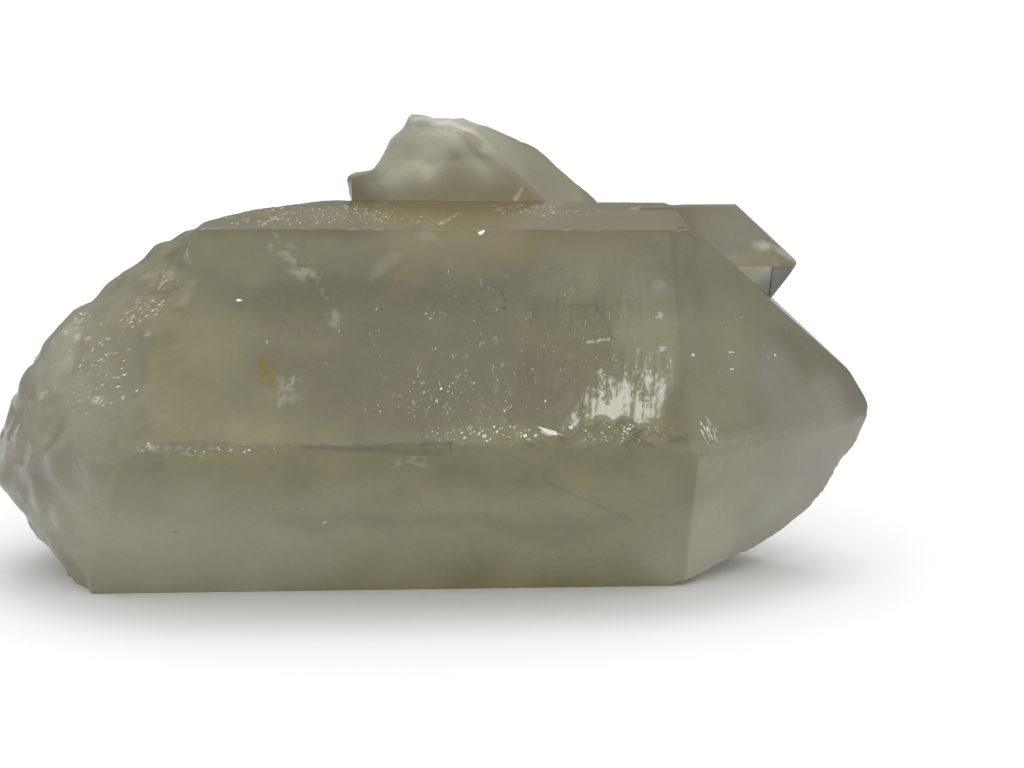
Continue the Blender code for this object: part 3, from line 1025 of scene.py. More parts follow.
@dataclass
class FacePlane:
    """A crystal face's own axes, so that points on it can be given as two numbers in mm."""

    origin: Vector
    across: Vector
    up: Vector

    @classmethod
    def of(cls, face: bmesh.types.BMFace) -> "FacePlane":
        """Axes in the face's plane; across runs as near to +X as it can."""
        normal = face.normal.copy()
        guide = Vector((1, 0, 0)) if abs(normal.x) < 0.9 else Vector((0, 1, 0))
        across = (guide - normal * guide.dot(normal)).normalized()
        return cls(face.verts[0].co.copy(), across, normal.cross(across))

    def flat(self, points: Iterable[Vector]) -> np.ndarray:
        """The points as two numbers each, in mm."""
        shifts = [(p - self.origin) / MM for p in points]
        return np.array([(s.dot(self.across), s.dot(self.up)) for s in shifts])

    def solid(self, pair: Sequence[float]) -> Vector:
        """The place in metres of two numbers in mm."""
        return self.origin + (self.across * pair[0] + self.up * pair[1]) * MM

    def solids(self, pairs: np.ndarray) -> np.ndarray:
        """The places in mm of pairs of numbers in mm, one a row."""
        return np.array([self.solid(p)[:] for p in pairs]).reshape(-1, 3) / MM

    @property
    def normal(self) -> Vector:
        """The way the face looks."""
        return self.across.cross(self.up)

    def height(self, place: Vector) -> float:
        """How far a place, in mm, is from the face's plane."""
        return abs((place * MM - self.origin).dot(self.normal)) / MM

    def span(
        self, shape: Place, flat: np.ndarray, margin: float
    ) -> Union[tuple[np.ndarray, np.ndarray], None]:
        """Finds where a shape can touch a face.

        Args:
            shape: the shape.
            flat: the face's corners.
            margin: how far round the shape still counts.

        Returns:
            The low and the high corner of that part of the face, or None.
        """
        centre, radius, _ = shape.circle()
        middle = self.flat([centre * MM])[0]
        low = np.maximum(middle - radius - margin, flat.min(axis=0))
        high = np.minimum(middle + radius + margin, flat.max(axis=0))
        return (low, high) if self.height(centre) <= radius and (high > low).all() else None


def inside_walls(triangles: Sequence[Sequence[int]], walls: set[frozenset[int]]) -> list[bool]:
    """Which triangles lie inside the closed outlines that the walls make.

    Args:
        triangles: the corners of each triangle.
        walls: the sides that belong to an outline, each as its two ends.

    Returns:
        True or False for each triangle.
    """
    sides: dict[frozenset[int], list[int]] = {}
    for i, corners in enumerate(triangles):
        for a, b in zip(corners, (*corners[1:], corners[0])):
            sides.setdefault(frozenset((a, b)), []).append(i)
    state: dict[int, bool] = {}
    waiting = []
    for side, owners in sides.items():
        if len(owners) == 1 and owners[0] not in state:
            state[owners[0]] = side in walls
            waiting.append(owners[0])
    while waiting:
        i = waiting.pop()
        corners = triangles[i]
        for a, b in zip(corners, (*corners[1:], corners[0])):
            side = frozenset((a, b))
            for other in sides[side]:
                if other not in state:
                    state[other] = state[i] != (side in walls)
                    waiting.append(other)
    return [state[i] for i in range(len(triangles))]


@dataclass
class CrystalCluster:
    """The three joined crystals as one closed skin, with scored faces, worn edges and crumbled breaks.

    Lengths are in mm, apart from weld and sliver, which are in metres; least_crystal_face is in square
    metres. A pitch is how far apart points or lumps are, and a depth how far the skin moves. flake holds
    the Z and X of the line where the flake came off, nicks and uneven_wear each a pitch and a depth, and
    nicks also the least strength of noise that makes one.
    """

    finish: QuartzFinish = field(default_factory=QuartzFinish)
    node: str = "quartz_crystal"
    name: str = "quartz_cluster"
    seed: int = 7
    outline_seed: int = 3
    weld: float = 2e-7
    sliver: float = 2e-5
    same_plane: float = math.radians(0.35)
    least_crystal_face: float = 25e-6
    ledge_low: Triple = (-29.0, -42.0, 30.0)
    ledge_high: Triple = (1.0, -36.0, 35.6)
    edge_pitch: float = 0.5
    edge_rows: Sequence[float] = (0.3, 0.7, 1.3, 2.2)
    least_turn: float = math.radians(14)
    sharp_edge: float = math.radians(32)
    sharp_seam: float = math.radians(50)
    column_pitch: float = 0.5
    row_pitch: float = 2.6
    streak_low: Triple = (17.0, -45.0, 35.5)
    streak_high: Triple = (48.0, -20.0, 70.0)
    streak_pitch: tuple[float, float] = (0.21, 1.5)
    mark_pitch: tuple[float, float] = (0.26, 0.9)
    mark_rim: float = 0.3
    mark_depth: float = 0.5
    plain_pitch: float = 2.4
    least_scored: float = 12.0
    mark_gap: float = 0.17
    row_gap: float = 0.28
    fleck_gap: float = 0.38
    fleck_reach: float = 0.8
    fleck_clearance: float = 0.12
    fleck_corners: tuple[int, int] = (4, 7)
    fleck_skew: float = 0.3
    fleck_reaches: tuple[float, float] = (0.55, 1.1)
    facet_shares: tuple[float, float] = (0.95, 0.6)
    facet_lift: float = 0.06
    streaked_face: float = -0.866
    break_cuts: int = 3
    break_smoothing: int = 4
    break_rings: int = 5
    lump_pitch: float = 6.0
    lump_depth: float = 1.25
    row_rise: tuple[float, float] = (0.927, 0.375)
    row_pitches: Triple = (6, 3, 1.3)
    row_depth: float = 0.1
    crumb_pitch: float = 1.5
    crumb_depth: float = 0.12
    square_on: float = 0.05
    line_pitches: Triple = (0.9, 14, 14)
    line_depth: float = 0.009
    wave_pitches: Triple = (7, 9, 9)
    wave_depth: float = 0.03
    seam_floor: float = 0.5
    seam_rings: int = 3
    seam_rounds: int = 6
    healed: Spot = Spot((-52.5, -18.0, 69.0), (6.5, 7, 6.5), fade=0.5)
    heal_rounds: int = 30
    flake: Sequence[tuple[float, float]] = (
        (35.0, 43.2), (38.0, 43.2), (40.5, 43.6), (43.0, 44.8), (46.5, 47.0), (57.0, 46.9), (69.0, 46.3),
        (74.0, 45.6),
    )
    flake_ends: tuple[float, float] = (40, 51)
    flake_front: float = -14
    flake_way: Triple = (0, 0.866, -0.5)
    flake_slope: float = 0.08
    fleck_tilt: float = 0.05
    wear_reach: float = 5.0
    even_wear: float = 0.07
    uneven_wear: tuple[float, float] = (3.1, 0.10)
    nicks: Triple = (1.9, 0.5, 0.42)
    wears: Sequence[Wear] = (
        Wear((-16, -45, 32), (24, -30, 38), 0.0, 0.6, 1.3),
        Wear((17, -45, 32), (51, -30, 38), 0.4, 0.7, 1.1),
        Wear((50, -40, 28), (90, -5, 35), 0.35, 0.25, 2.2),
        Wear((60, -30, -4), (95, 20, 30), 0.15, 1.2, 3.4),
        Wear((-20, 12, 79), (14, 45, 95), 0.7, 0.5, 5.0),
        Wear((5, 12, 72), (40, 45, 95), 0.25, 0.3, 4.0),
        Wear((-60, -45, 32), (-26, -30, 38), 0.4, 0.5, 2.4),
    )
    bulges: Sequence[Bulge] = (
        Bulge(Spot((-12.5, 22, 75.2), (5.0, 10, 5.2), fade=0.9), (-3.6, 0, 0.2)),
        Bulge(Spot((-2.6, 23, 90), (4.2, 10, 4), fade=1.0), (-0.6, 0, 1.8)),
        Bulge(Spot((-13.5, 22, 78), (4.0, 10, 2.6), fade=0.9), (-1.6, 0, 0.9)),
        Bulge(Spot((-4, 21, 86), (4, 5, 4), fade=1.0), (0, -0.5, 0)),
        Bulge(Spot((5, 20, 85), (3.4, 5, 3), fade=1.0), (0, -0.5, 0)),
        Bulge(Spot((0.5, 20, 80), (3.2, 4, 4), fade=1.0), (0, 0.5, 0)),
    )

    def build(self) -> bpy.types.Object:
        """Makes the skin from the node's mesh and dresses it.

        Returns:
            The finished piece.
        """
        self.dice = np.random.default_rng(self.seed)
        noise.seed_set(self.outline_seed)
        self.bm = bmesh.new()
        self.bm.from_mesh(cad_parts[self.node].data)
        bmesh.ops.remove_doubles(self.bm, verts=self.bm.verts[:], dist=self.weld)
        bmesh.ops.dissolve_degenerate(self.bm, dist=self.sliver, edges=self.bm.edges[:])
        self.kind = self.bm.faces.layers.int.new("kind")
        self.plane = self.bm.faces.layers.int.new("plane")
        self.fleck = self.bm.faces.layers.int.new("fleck")
        self.known: list[Fleck] = []
        groups = self.find_crystal_faces()
        worn = self.find_worn_edges()
        self.divide_edges()
        for number in range(1, groups + 1):
            self.tessellate(number)
        self.smooth_breaks()
        self.crumble()
        self.score()
        self.shave()
        self.wear(worn)
        self.swell()
        self.soften_seams()
        self.fleck_breaks()
        self.shade()
        broken, flecks = (np.array([f[layer] for f in self.bm.faces]) for layer in (self.kind, self.fleck))
        for name in ("kind", "plane", "fleck"):
            self.bm.faces.layers.int.remove(self.bm.faces.layers.int[name])
        mesh = bpy.data.meshes.new(self.name)
        self.bm.to_mesh(mesh)
        self.bm.free()
        Painting(mesh, self.finish.body).paint(broken == Skin.BREAK.value, flecks, self.known)
        mesh.materials.append(self.finish.make())
        piece = add_object(self.name, mesh)
        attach(piece, "root")
        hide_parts(self.node)
        return piece

    def find_crystal_faces(self) -> int:
        """Numbers the large flat faces, and the ledge's small ones; what is left is broken surface.

        Returns:
            How many there are.
        """
        seen: set[bmesh.types.BMFace] = set()
        number = 0
        for seed in sorted(self.bm.faces, key=lambda f: -f.calc_area()):
            if seed in seen:
                continue
            group, waiting = [], [seed]
            seen.add(seed)
            while waiting:
                face = waiting.pop()
                group.append(face)
                for edge in face.edges:
                    for near in edge.link_faces:
                        if near not in seen and near.normal.angle(seed.normal, math.pi) < self.same_plane:
                            seen.add(near)
                            waiting.append(near)
            if sum(f.calc_area() for f in group) > self.least_crystal_face or self.on_ledge(seed):
                number += 1
                for face in group:
                    face[self.kind] = Skin.CRYSTAL.value
                    face[self.plane] = number
        log.info("%d crystal faces", number)
        return number

    def on_ledge(self, face: bmesh.types.BMFace) -> bool:
        """True for a face of the thin ledge on the lower front edge."""
        place = face.calc_center_median() / MM
        return all(a < c < b for a, c, b in zip(self.ledge_low, place, self.ledge_high))

    def find_worn_edges(self) -> list[WornEdge]:
        """The outward edges between crystal faces."""
        found = []
        for edge in self.bm.edges:
            if len(edge.link_faces) != 2 or not edge.is_convex:
                continue
            first, second = edge.link_faces
            both = first[self.kind] == second[self.kind] == Skin.CRYSTAL.value
            if both and first.normal.angle(second.normal, 0.0) > self.least_turn:
                outward = (first.normal + second.normal).normalized()
                lean = math.sqrt(max(1 - outward.dot(first.normal) ** 2, 1e-6))
                found.append(WornEdge(edge.verts[0].co.copy(), edge.verts[1].co.copy(), outward, lean))
        log.info("%d worn edges", len(found))
        return found

    def divide_edges(self) -> None:
        """Divides broken surface finely, and the edges between crystal faces evenly."""
        breaks = [f for f in self.bm.faces if f[self.kind] == Skin.BREAK.value]
        edges = list(dict.fromkeys(e for f in breaks for e in f.edges))
        bmesh.ops.subdivide_edges(self.bm, edges=edges, cuts=self.break_cuts, use_grid_fill=True)
        many = [f for f in self.bm.faces if len(f.verts) > 3 and f[self.kind] == Skin.BREAK.value]
        bmesh.ops.triangulate(self.bm, faces=many, quad_method="BEAUTY", ngon_method="BEAUTY")
        by_cuts: dict[int, list[bmesh.types.BMEdge]] = {}
        for edge in self.bm.edges:
            planes = {f[self.plane] for f in edge.link_faces}
            cuts = math.ceil(edge.calc_length() / MM / self.edge_pitch) - 1
            if len(planes) == 2 and 0 not in planes and cuts > 0:
                by_cuts.setdefault(cuts, []).append(edge)
        for cuts, group in by_cuts.items():
            bmesh.ops.bisect_edges(self.bm, edges=group, cuts=cuts, edge_percents={})

    def tessellate(self, number: int) -> None:
        """Fills one crystal face anew, with points where its scoring and its worn edges need them.

        Args:
            number: the face's number.
        """
        faces = [f for f in self.bm.faces if f[self.plane] == number]
        own = set(faces)
        outline = [e for f in faces for e in f.edges if sum(n in own for n in e.link_faces) == 1]
        outline = list(dict.fromkeys(outline))
        verts = list(dict.fromkeys(v for e in outline for v in e.verts))
        place = {v: i for i, v in enumerate(verts)}
        axes = FacePlane.of(max(faces, key=lambda f: f.calc_area()))
        flat = axes.flat([v.co for v in verts])
        pairs = [(place[e.verts[0]], place[e.verts[1]]) for e in outline]
        starts, ends = flat[[a for a, _ in pairs]], flat[[b for _, b in pairs]]
        crisp = np.array([all(f[self.kind] == Skin.CRYSTAL.value for f in e.link_faces) for e in outline])
        inner = self.inner_points(axes, flat, starts, ends, crisp)
        small = self.flecks_on(axes, flat, starts, ends)
        first = len(verts) + len(inner)
        count, rings = first, []
        for _, corners in small:
            rings.append(list(range(count, count + len(corners))))
            count += len(corners)
        every = [Vector(p) for p in np.vstack([flat, inner, *(corners for _, corners in small)])]
        points, edges, triangles, origins, walls, rings_of = delaunay_2d_cdt(every, pairs, rings, 0, 1e-5)
        walled = {frozenset(e) for e, wall in zip(edges, walls) if any(i < len(pairs) for i in wall)}
        bmesh.ops.delete(self.bm, geom=faces, context="FACES")
        made: list[bmesh.types.BMVert] = []
        for spot, ids in zip(points, origins):
            old = [i for i in ids if i < len(verts)]
            vert = verts[old[0]] if old else self.bm.verts.new(axes.solid(spot))
            if not old and any(i >= first for i in ids):
                vert.co -= axes.normal * self.dice.uniform(0.0, self.fleck_tilt) * MM
            made.append(vert)
        start = len(self.known)
        self.known.extend(fleck for fleck, _ in small)
        for corners, inside, rings_in in zip(triangles, inside_walls(triangles, walled), rings_of):
            loop = [made[i] for i in corners]
            if inside and len(set(loop)) == 3 and self.bm.faces.get(loop) is None:
                face = self.bm.faces.new(loop)
                face[self.kind] = Skin.CRYSTAL.value
                face[self.plane] = number
                if rings_in:
                    face[self.fleck] = start + rings_in[0] + 1

    def flecks_on(
        self, axes: FacePlane, flat: np.ndarray, starts: np.ndarray, ends: np.ndarray
    ) -> list[tuple[Fleck, np.ndarray]]:
        """Chooses the flecks of one crystal face.

        Args:
            axes: the face's axes.
            flat: its outline's corners.
            starts: the first end of each side of the outline.
            ends: the last end of each.

        Returns:
            Each fleck with its corners in the face's axes.
        """
        found = [f for f in FLECKS if axes.height(Vector(f.place)) < self.fleck_reach]
        for group in STREWN:
            for shape in group.where:
                span = axes.span(shape, flat, 0.0)
                if span is None:
                    continue
                a, b = span
                spots = self.dice.uniform(a, b, (int(group.density * np.prod(b - a)), 2))
                solid = axes.solids(spots)
                kept = solid[shape.mask(solid) > self.dice.uniform(0, 1, len(solid))]
                found.extend(group.flecks(kept, self.dice))
        if not found:
            return []
        centres = axes.flat([Vector(f.place) * MM for f in found])
        kept = {tuple(p) for p in self.spread_out(centres, self.fleck_gap)}
        pairs = [(f, c + self.ring(f)) for f, c in zip(found, centres) if tuple(c) in kept]
        owner = np.repeat(np.arange(len(pairs)), [len(corners) for _, corners in pairs])
        every = np.vstack([corners for _, corners in pairs])
        near = segment_distance(every, starts, ends) < self.fleck_clearance
        outside = ~enclosed(every, starts, ends) | near
        lost = set(owner[outside].tolist())
        return [pair for i, pair in enumerate(pairs) if i not in lost]

    def ring(self, fleck: Fleck) -> np.ndarray:
        """The uneven outline of a fleck round its middle."""
        count = int(self.dice.integers(*self.fleck_corners))
        skew = self.dice.uniform(-self.fleck_skew, self.fleck_skew, count)
        angles = (np.arange(count) + skew) * 2 * math.pi / count
        reach = fleck.size * self.dice.uniform(*self.fleck_reaches, count)
        x, y = reach * np.cos(angles) * fleck.long, reach * np.sin(angles)
        return np.column_stack(turned(x, y, -math.radians(fleck.lift)))

    def mark_points(self, axes: FacePlane, flat: np.ndarray) -> np.ndarray:
        """Finds where fine tints or streaks need close-set points on one face.

        Args:
            axes: the face's axes.
            flat: its outline's corners.

        Returns:
            The points, one a row.
        """
        sets = [np.empty((0, 2))]
        for tint in FINE_TINTS:
            for shape in tint.where:
                span = axes.span(shape, flat, 1.0)
                if span is None:
                    continue
                pitch = float(np.clip(shape.circle()[2], *self.mark_pitch))
                grid = self.staggered(*span, (pitch, pitch))
                solid = axes.solids(grid)
                spread = self.mark_rim + tint.outline.value[1]
                needed = shape.mask(solid, spread) > 0
                if tint.cover is None:
                    needed &= shape.mask(solid, -spread - self.mark_depth) < 1
                sets.append(grid[needed])
        if abs(axes.normal.y - self.streaked_face) < 0.02:
            grid = self.staggered(flat.min(axis=0), flat.max(axis=0), self.streak_pitch)
            solid = axes.solids(grid)
            inside = (solid > np.array(self.streak_low)) & (solid < np.array(self.streak_high))
            sets.append(grid[inside.all(axis=1)])
        return np.vstack(sets)

    @staticmethod
    def staggered(low: np.ndarray, high: np.ndarray, pitch: tuple[float, float]) -> np.ndarray:
        """A grid with every second column shifted."""
        columns, rows = (np.arange(a + p / 2, b, p) for a, b, p in zip(low, high, pitch))
        x, y = np.meshgrid(columns, rows, indexing="ij")
        y[1::2] += 0.35 * pitch[1]
        return np.column_stack((x.ravel(), y.ravel()))

    def inner_points(
        self, axes: FacePlane, flat: np.ndarray, starts: np.ndarray, ends: np.ndarray, crisp: np.ndarray
    ) -> np.ndarray:
        """Points inside one face's outline, in its own axes.

        Args:
            axes: the face's axes.
            flat: the outline's corners.
            starts: the first end of each side of the outline.
            ends: the last end of each.
            crisp: True for each side that another crystal face shares.

        Returns:
            The points, one a row.
        """
        low, high = flat.min(axis=0), flat.max(axis=0)
        scored = abs(axes.across.x) > 0.99 and min(high - low) > self.least_scored
        pitch = (self.column_pitch, self.row_pitch) if scored else (self.plain_pitch, self.plain_pitch)
        grid = self.staggered(low, high, pitch)
        marks = self.mark_points(axes, flat)
        if len(marks):
            grid = self.spread_out(np.vstack([marks, grid]), self.mark_gap)
        grid = grid[enclosed(grid, starts, ends)]
        grid = grid[segment_distance(grid, starts, ends) > self.edge_rows[0]]
        grid = grid[segment_distance(grid, starts[crisp], ends[crisp]) > self.edge_rows[-2]]
        lines = [np.empty((0, 2))]
        for start, end in zip(starts[crisp], ends[crisp]):
            along = end - start
            square = np.array((-along[1], along[0])) / max(float(np.linalg.norm(along)), 1e-9)
            for i, row in enumerate(self.edge_rows):
                stretch = max(round(row / 0.6), 1)
                for side in (-1, 1):
                    middle = (start + end) / 2 + square * side * row
                    if round(float(middle.sum()) / self.edge_pitch + i) % stretch == 0:
                        lines.append(middle[None])
        rows = np.vstack(lines)
        rows = rows[enclosed(rows, starts, ends)]
        rows = rows[segment_distance(rows, starts, ends) > 0.8 * self.edge_rows[0]]
        return np.vstack([grid, self.spread_out(rows, self.row_gap)])

    @staticmethod
    def spread_out(points: np.ndarray, gap: float) -> np.ndarray:
        """Thins points out.

        Args:
            points: the points, one a row.
            gap: how near each other two of them may be.

        Returns:
            Those that aren't nearer than that to one before them.
        """
        tree = KDTree(len(points))
        for i, (x, y) in enumerate(points.tolist()):
            tree.insert((x, y, 0.0), i)
        tree.balance()
        left = np.ones(len(points), dtype=bool)
        for i, (x, y) in enumerate(points.tolist()):
            if left[i]:
                for _, j, _ in tree.find_range((x, y, 0.0), gap):
                    left[j] = j <= i and left[j]
        return points[left]

    def inner_break_points(self) -> list[bmesh.types.BMVert]:
        """The points whose faces are all broken surface."""
        return [v for v in self.bm.verts if all(f[self.kind] == Skin.BREAK.value for f in v.link_faces)]

    def smooth(self, verts: Sequence[bmesh.types.BMVert], rounds: int) -> None:
        """Smooths part of the skin, over and over."""
        axes = {f"use_axis_{name}": True for name in "xyz"}
        for _ in range(rounds):
            bmesh.ops.smooth_vert(self.bm, verts=verts, factor=0.5, **axes)

    def smooth_breaks(self) -> None:
        """Rounds off the broken surfaces' coarse facets."""
        self.smooth(self.inner_break_points(), self.break_smoothing)

    def crumble(self) -> None:
        """Gives the broken surfaces their small hackly relief, which fades out at the crystal faces."""
        self.bm.normal_update()
        inner = self.inner_break_points()
        rings = {v: 0 for v in self.bm.verts}
        known = set(self.bm.verts) - set(inner)
        edge, ring = known, 0
        while edge and ring < self.break_rings:
            ring += 1
            edge = {e.other_vert(v) for v in edge for e in v.link_edges} - known
            for vert in edge:
                rings[vert] = ring
            known = known | edge
        low, high = CAD_BOX
        cosine, sine = self.row_rise
        moves = []
        for vert in inner:
            fade = (rings[vert] or self.break_rings + 1) / (self.break_rings + 1)
            place = vert.co / MM
            lumps = noise.noise(place / self.lump_pitch) * self.lump_depth
            along = Vector((place.x * cosine + place.z * sine, place.y, place.z * cosine - place.x * sine))
            rows = noise.noise(divided(along, self.row_pitches)) * self.row_depth
            crumb = noise.fractal(place / self.crumb_pitch, 1.0, 2.2, 3) * self.crumb_depth
            moves.append((vert, vert.normal * (lumps + rows + crumb) * fade * MM))
        for vert, move in moves:
            spot = vert.co + move
            vert.co = Vector(min(max(c, a), b) for c, a, b in zip(spot, low, high))

    def score(self) -> None:
        """Gives the long faces their fine growth lines, square to the crystals' length."""
        self.bm.normal_update()
        for vert in self.bm.verts:
            faces = vert.link_faces
            planes = {f[self.plane] for f in faces}
            if len(planes) != 1 or 0 in planes or abs(faces[0].normal.x) > self.square_on:
                continue
            place = vert.co / MM
            lines = self.line_depth * (1 + noise.noise(divided(place, self.line_pitches)))
            waves = self.wave_depth * (1 + noise.noise(divided(place, self.wave_pitches)))
            vert.co -= faces[0].normal * (lines + waves) * MM

    def shave(self) -> None:
        """Tilts the right end of the upper front face, where a thin uneven flake has come off."""
        line = sorted(self.flake)
        heights = [z for z, _ in line]
        for vert in self.bm.verts:
            place = vert.co / MM
            across = self.flake_ends[0] < place.x < self.flake_ends[1] and place.y < self.flake_front
            if not (across and heights[0] < place.z < heights[-1]):
                continue
            crystal = (f for f in vert.link_faces if f[self.kind] == Skin.CRYSTAL.value)
            if not any(abs(f.normal.x) < self.square_on for f in crystal):
                continue
            start = float(np.interp(place.z, heights, [x for _, x in line]))
            vert.co += Vector(self.flake_way) * max(place.x - start, 0) * self.flake_slope * MM

    def soften_seams(self) -> None:
        """Rounds the seams between the crystal faces and the broken surfaces."""
        seams = (v for v in self.bm.verts if len({f[self.kind] for f in v.link_faces}) == 2)
        near = {v for v in seams if v.co.z > self.seam_floor * MM}
        for _ in range(self.seam_rings):
            near |= {e.other_vert(v) for v in near for e in v.link_edges}
        near = [v for v in near if v.co.z > self.seam_floor * MM]
        self.smooth(near, self.seam_rounds)
        inner = self.inner_break_points()
        healed = self.healed.mask(points_of(inner)) > 0.2
        self.smooth([v for v, chosen in zip(inner, healed) if chosen], self.heal_rounds)

    def wear(self, worn: Sequence[WornEdge]) -> None:
        """Takes the sharpness off the crystals' edges, unevenly, and crumbles the lower front edge.

        Args:
            worn: the edges.
        """
        verts = [v for v in self.bm.verts if any(f[self.kind] == Skin.CRYSTAL.value for f in v.link_faces)]
        points = np.array([v.co[:] for v in verts])
        best = np.zeros(len(verts))
        moves = np.zeros((len(verts), 3))
        for edge in worn:
            spots = edge.nearest(points)
            away = np.linalg.norm(points - spots, axis=1)
            for i in np.flatnonzero(away < self.wear_reach * MM):
                depth = self.lost(Vector(spots[i]) / MM, Vector(points[i]) / MM) * MM - away[i] * edge.lean
                if depth > best[i]:
                    best[i] = depth
                    moves[i] = np.array(edge.outward) * -depth
        for vert, move in zip(verts, moves):
            vert.co += Vector(move)

    def lost(self, spot: Vector, point: Vector) -> float:
        """Works out how deep the wear is, in mm.

        Args:
            spot: the place on an edge, in mm.
            point: a point of the skin near it, in mm.

        Returns:
            The depth.
        """
        pitch, uneven = self.uneven_wear
        nick_pitch, nick_depth, nick_least = self.nicks
        depth = self.even_wear + uneven * max(noise.noise(spot / pitch), 0)
        depth += nick_depth * max(noise.noise(spot / nick_pitch) - nick_least, 0)
        return max(depth, *(wear.lost(spot, point) for wear in self.wears))

    def swell(self) -> None:
        """Pushes the skin where it bulges, within the model's box."""
        low, high = (np.array(c) for c in CAD_BOX)
        verts = list(self.bm.verts)
        points = points_of(verts)
        moves = sum(b.where.mask(points)[:, None] * np.array(b.push) for b in self.bulges)
        for i in np.flatnonzero(np.abs(moves).max(axis=1) > 1e-4):
            verts[i].co = Vector(np.clip((points[i] + moves[i]) * MM, low, high))

    def fleck_breaks(self) -> None:
        """Gives the broken surfaces small bright facets, each inside one of their triangles."""
        faces = [f for f in self.bm.faces if f[self.kind] == Skin.BREAK.value and len(f.verts) == 3]
        middles = np.array([f.calc_center_median()[:] for f in faces]) / MM
        areas = np.array([f.calc_area() for f in faces]) / MM**2
        taken = np.zeros(len(faces), dtype=bool)
        for group in STREWN:
            mask = np.max([shape.mask(middles) for shape in group.where], axis=0)
            chance = mask * group.density * areas
            chosen = (self.dice.uniform(0, 1, len(faces)) < chance) & ~taken
            taken |= chosen
            picked = [faces[i] for i in np.flatnonzero(chosen)]
            flecks = group.flecks(middles[chosen], self.dice)
            for face, fleck in zip(picked, flecks):
                self.set_in(face, fleck)

    def set_in(self, face: bmesh.types.BMFace, fleck: Fleck) -> None:
        """Sets one fleck into a triangle of broken surface.

        Args:
            face: the triangle, which makes way for smaller ones.
            fleck: the fleck.
        """
        middle, normal = face.calc_center_median(), face.normal.copy()
        across = (Vector((1, 0, 0)) - normal * normal.x).normalized()
        turn = math.radians(fleck.lift)
        along = across * math.cos(turn) + normal.cross(across) * math.sin(turn)
        outer = [loop.vert for loop in face.loops]
        inner = []
        for vert in outer:
            reach = vert.co - middle
            lengthways = along * reach.dot(along)
            spot = middle + lengthways * self.facet_shares[0] + (reach - lengthways) * self.facet_shares[1]
            lift = self.dice.uniform(-self.facet_lift, self.facet_lift)
            inner.append(self.bm.verts.new(spot + normal * lift * MM))
        self.bm.faces.remove(face)
        for i, vert in enumerate(outer):
            j = (i + 1) % 3
            for loop in ((vert, outer[j], inner[j]), (vert, inner[j], inner[i])):
                self.bm.faces.new(loop)[self.kind] = Skin.BREAK.value
        small = self.bm.faces.new(inner)
        small[self.kind] = Skin.BREAK.value
        self.known.append(fleck)
        small[self.fleck] = len(self.known)

    def shade(self) -> None:
        """Sets smooth and sharp edges."""
        self.bm.normal_update()
        for face in self.bm.faces:
            face.smooth = not face[self.fleck]
        for edge in self.bm.edges:
            kinds = {f[self.kind] for f in edge.link_faces}
            limit = self.sharp_edge if len(kinds) == 1 else self.sharp_seam
            edge.smooth = edge.calc_face_angle(0.0) < limit


# ---------------------------------------------------------------------------
# Floor, light and camera
# ---------------------------------------------------------------------------


@dataclass
class Lamp:
    """A rectangular studio lamp that points at the crystals."""

    name: str
    place: Triple
    size: tuple[float, float]
    radiance: float
    colour: Triple = (1.0, 1.0, 1.0)
    aim: Triple = (0.0, 0.0, 0.04)

    def build(self) -> bpy.types.Object:
        """Adds the lamp and returns its object."""
        data = bpy.data.lights.new(self.name, "AREA")
        data.shape = "RECTANGLE"
        data.size, data.size_y = self.size
        data.energy = self.radiance * math.pi * self.size[0] * self.size[1]
        data.color = self.colour
        lamp = add_object(self.name, data)
        lamp.location = self.place
        lamp.rotation_euler = (Vector(self.aim) - Vector(self.place)).to_track_quat("-Z", "Y").to_euler()
        return lamp


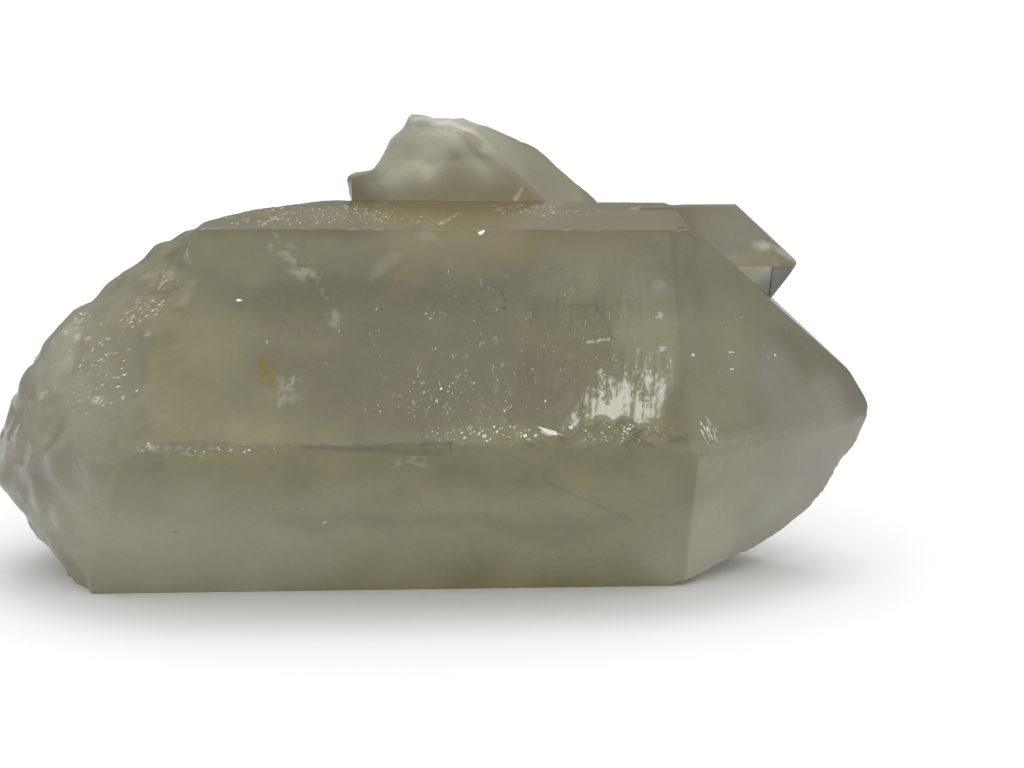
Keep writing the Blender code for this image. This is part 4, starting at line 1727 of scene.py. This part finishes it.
@dataclass(frozen=True)
class Surround:
    """The even light all round, weaker low down at the back so that the top face doesn't mirror it."""

    name: str = "surround"
    colour: Triple = (0.98, 0.99, 1.0)
    strength: float = 1.05
    low_back: float = 0.25
    heights: tuple[float, float] = (0.22, 0.5)
    depths: tuple[float, float] = (-0.1, 0.6)

    def build(self) -> bpy.types.World:
        """Makes the world and gives it to the scene."""
        world = bpy.data.worlds.new(self.name)
        graph = Graph(world)
        way = graph.wire(graph.add("TexCoord", {}, {}), "Generated")
        parts = graph.add("SeparateXYZ", {}, {0: way})
        low = 1.0 - graph.step(graph.wire(parts, "Z"), *self.heights)
        back = graph.step(graph.wire(parts, "Y"), *self.depths)
        strength = self.strength - low * back * (self.strength - self.low_back)
        light = graph.add("Background", {}, {"Color": (*self.colour, 1), "Strength": strength})
        graph.add("OutputWorld", {}, {"Surface": graph.wire(light, "Background")})
        bpy.context.scene.world = world
        return world


@dataclass
class Studio:
    """A pale floor, an even pale surround and the lamps."""

    floor_width: float = 12.0
    lamps: Sequence[Lamp] = (
        Lamp("soft_top", (0.1, 0.45, 1.4), (1.1, 1.1), 1.6),
        Lamp("edge_glint", (0.1362, -0.5698, 0.630), (0.05, 0.034), 7.5, aim=(0.035, -0.038, 0.04)),
    )

    def build(self) -> None:
        """Adds the floor, the surround and the lamps."""
        bm = bmesh.new()
        bmesh.ops.create_grid(bm, x_segments=12, y_segments=12, size=self.floor_width / 2)
        mesh = bpy.data.meshes.new("floor")
        bm.to_mesh(mesh)
        bm.free()
        mesh.materials.append(FloorFinish().make())
        add_object("floor", mesh)
        Surround().build()
        for lamp in self.lamps:
            lamp.build()


@dataclass
class Viewpoint:
    """The camera: a long lens, a little above the crystals and a little to their left."""

    place: Triple = (-0.03844, -0.73588, 0.19193)
    elevation: float = 12.0
    bearing: float = 3.0
    lens: float = 127.75
    shift: tuple[float, float] = (0.0742, 0.0139)

    def build(self) -> bpy.types.Object:
        """Adds the camera and makes it the scene's."""
        data = bpy.data.cameras.new("camera")
        data.lens = self.lens
        data.sensor_width = 36.0
        data.shift_x, data.shift_y = self.shift
        data.clip_start, data.clip_end = 0.05, 60.0
        camera = add_object("camera", data)
        up, round_ = math.radians(self.elevation), math.radians(self.bearing)
        ahead = Vector((math.sin(round_) * math.cos(up), math.cos(round_) * math.cos(up), -math.sin(up)))
        camera.location = self.place
        camera.rotation_euler = ahead.to_track_quat("-Z", "Y").to_euler()
        bpy.context.scene.camera = camera
        return camera


def main() -> None:
    """Builds the camera, the crystals and the studio, in that order."""
    logging.basicConfig(level=logging.INFO, format="%(name)s: %(message)s")
    bpy.context.scene.view_settings.view_transform = "Standard"
    Viewpoint().build()
    cluster = CrystalCluster().build()
    log.info("%s: %d faces", cluster.name, len(cluster.data.polygons))
    Studio().build()


if __name__ == "__main__":
    main()
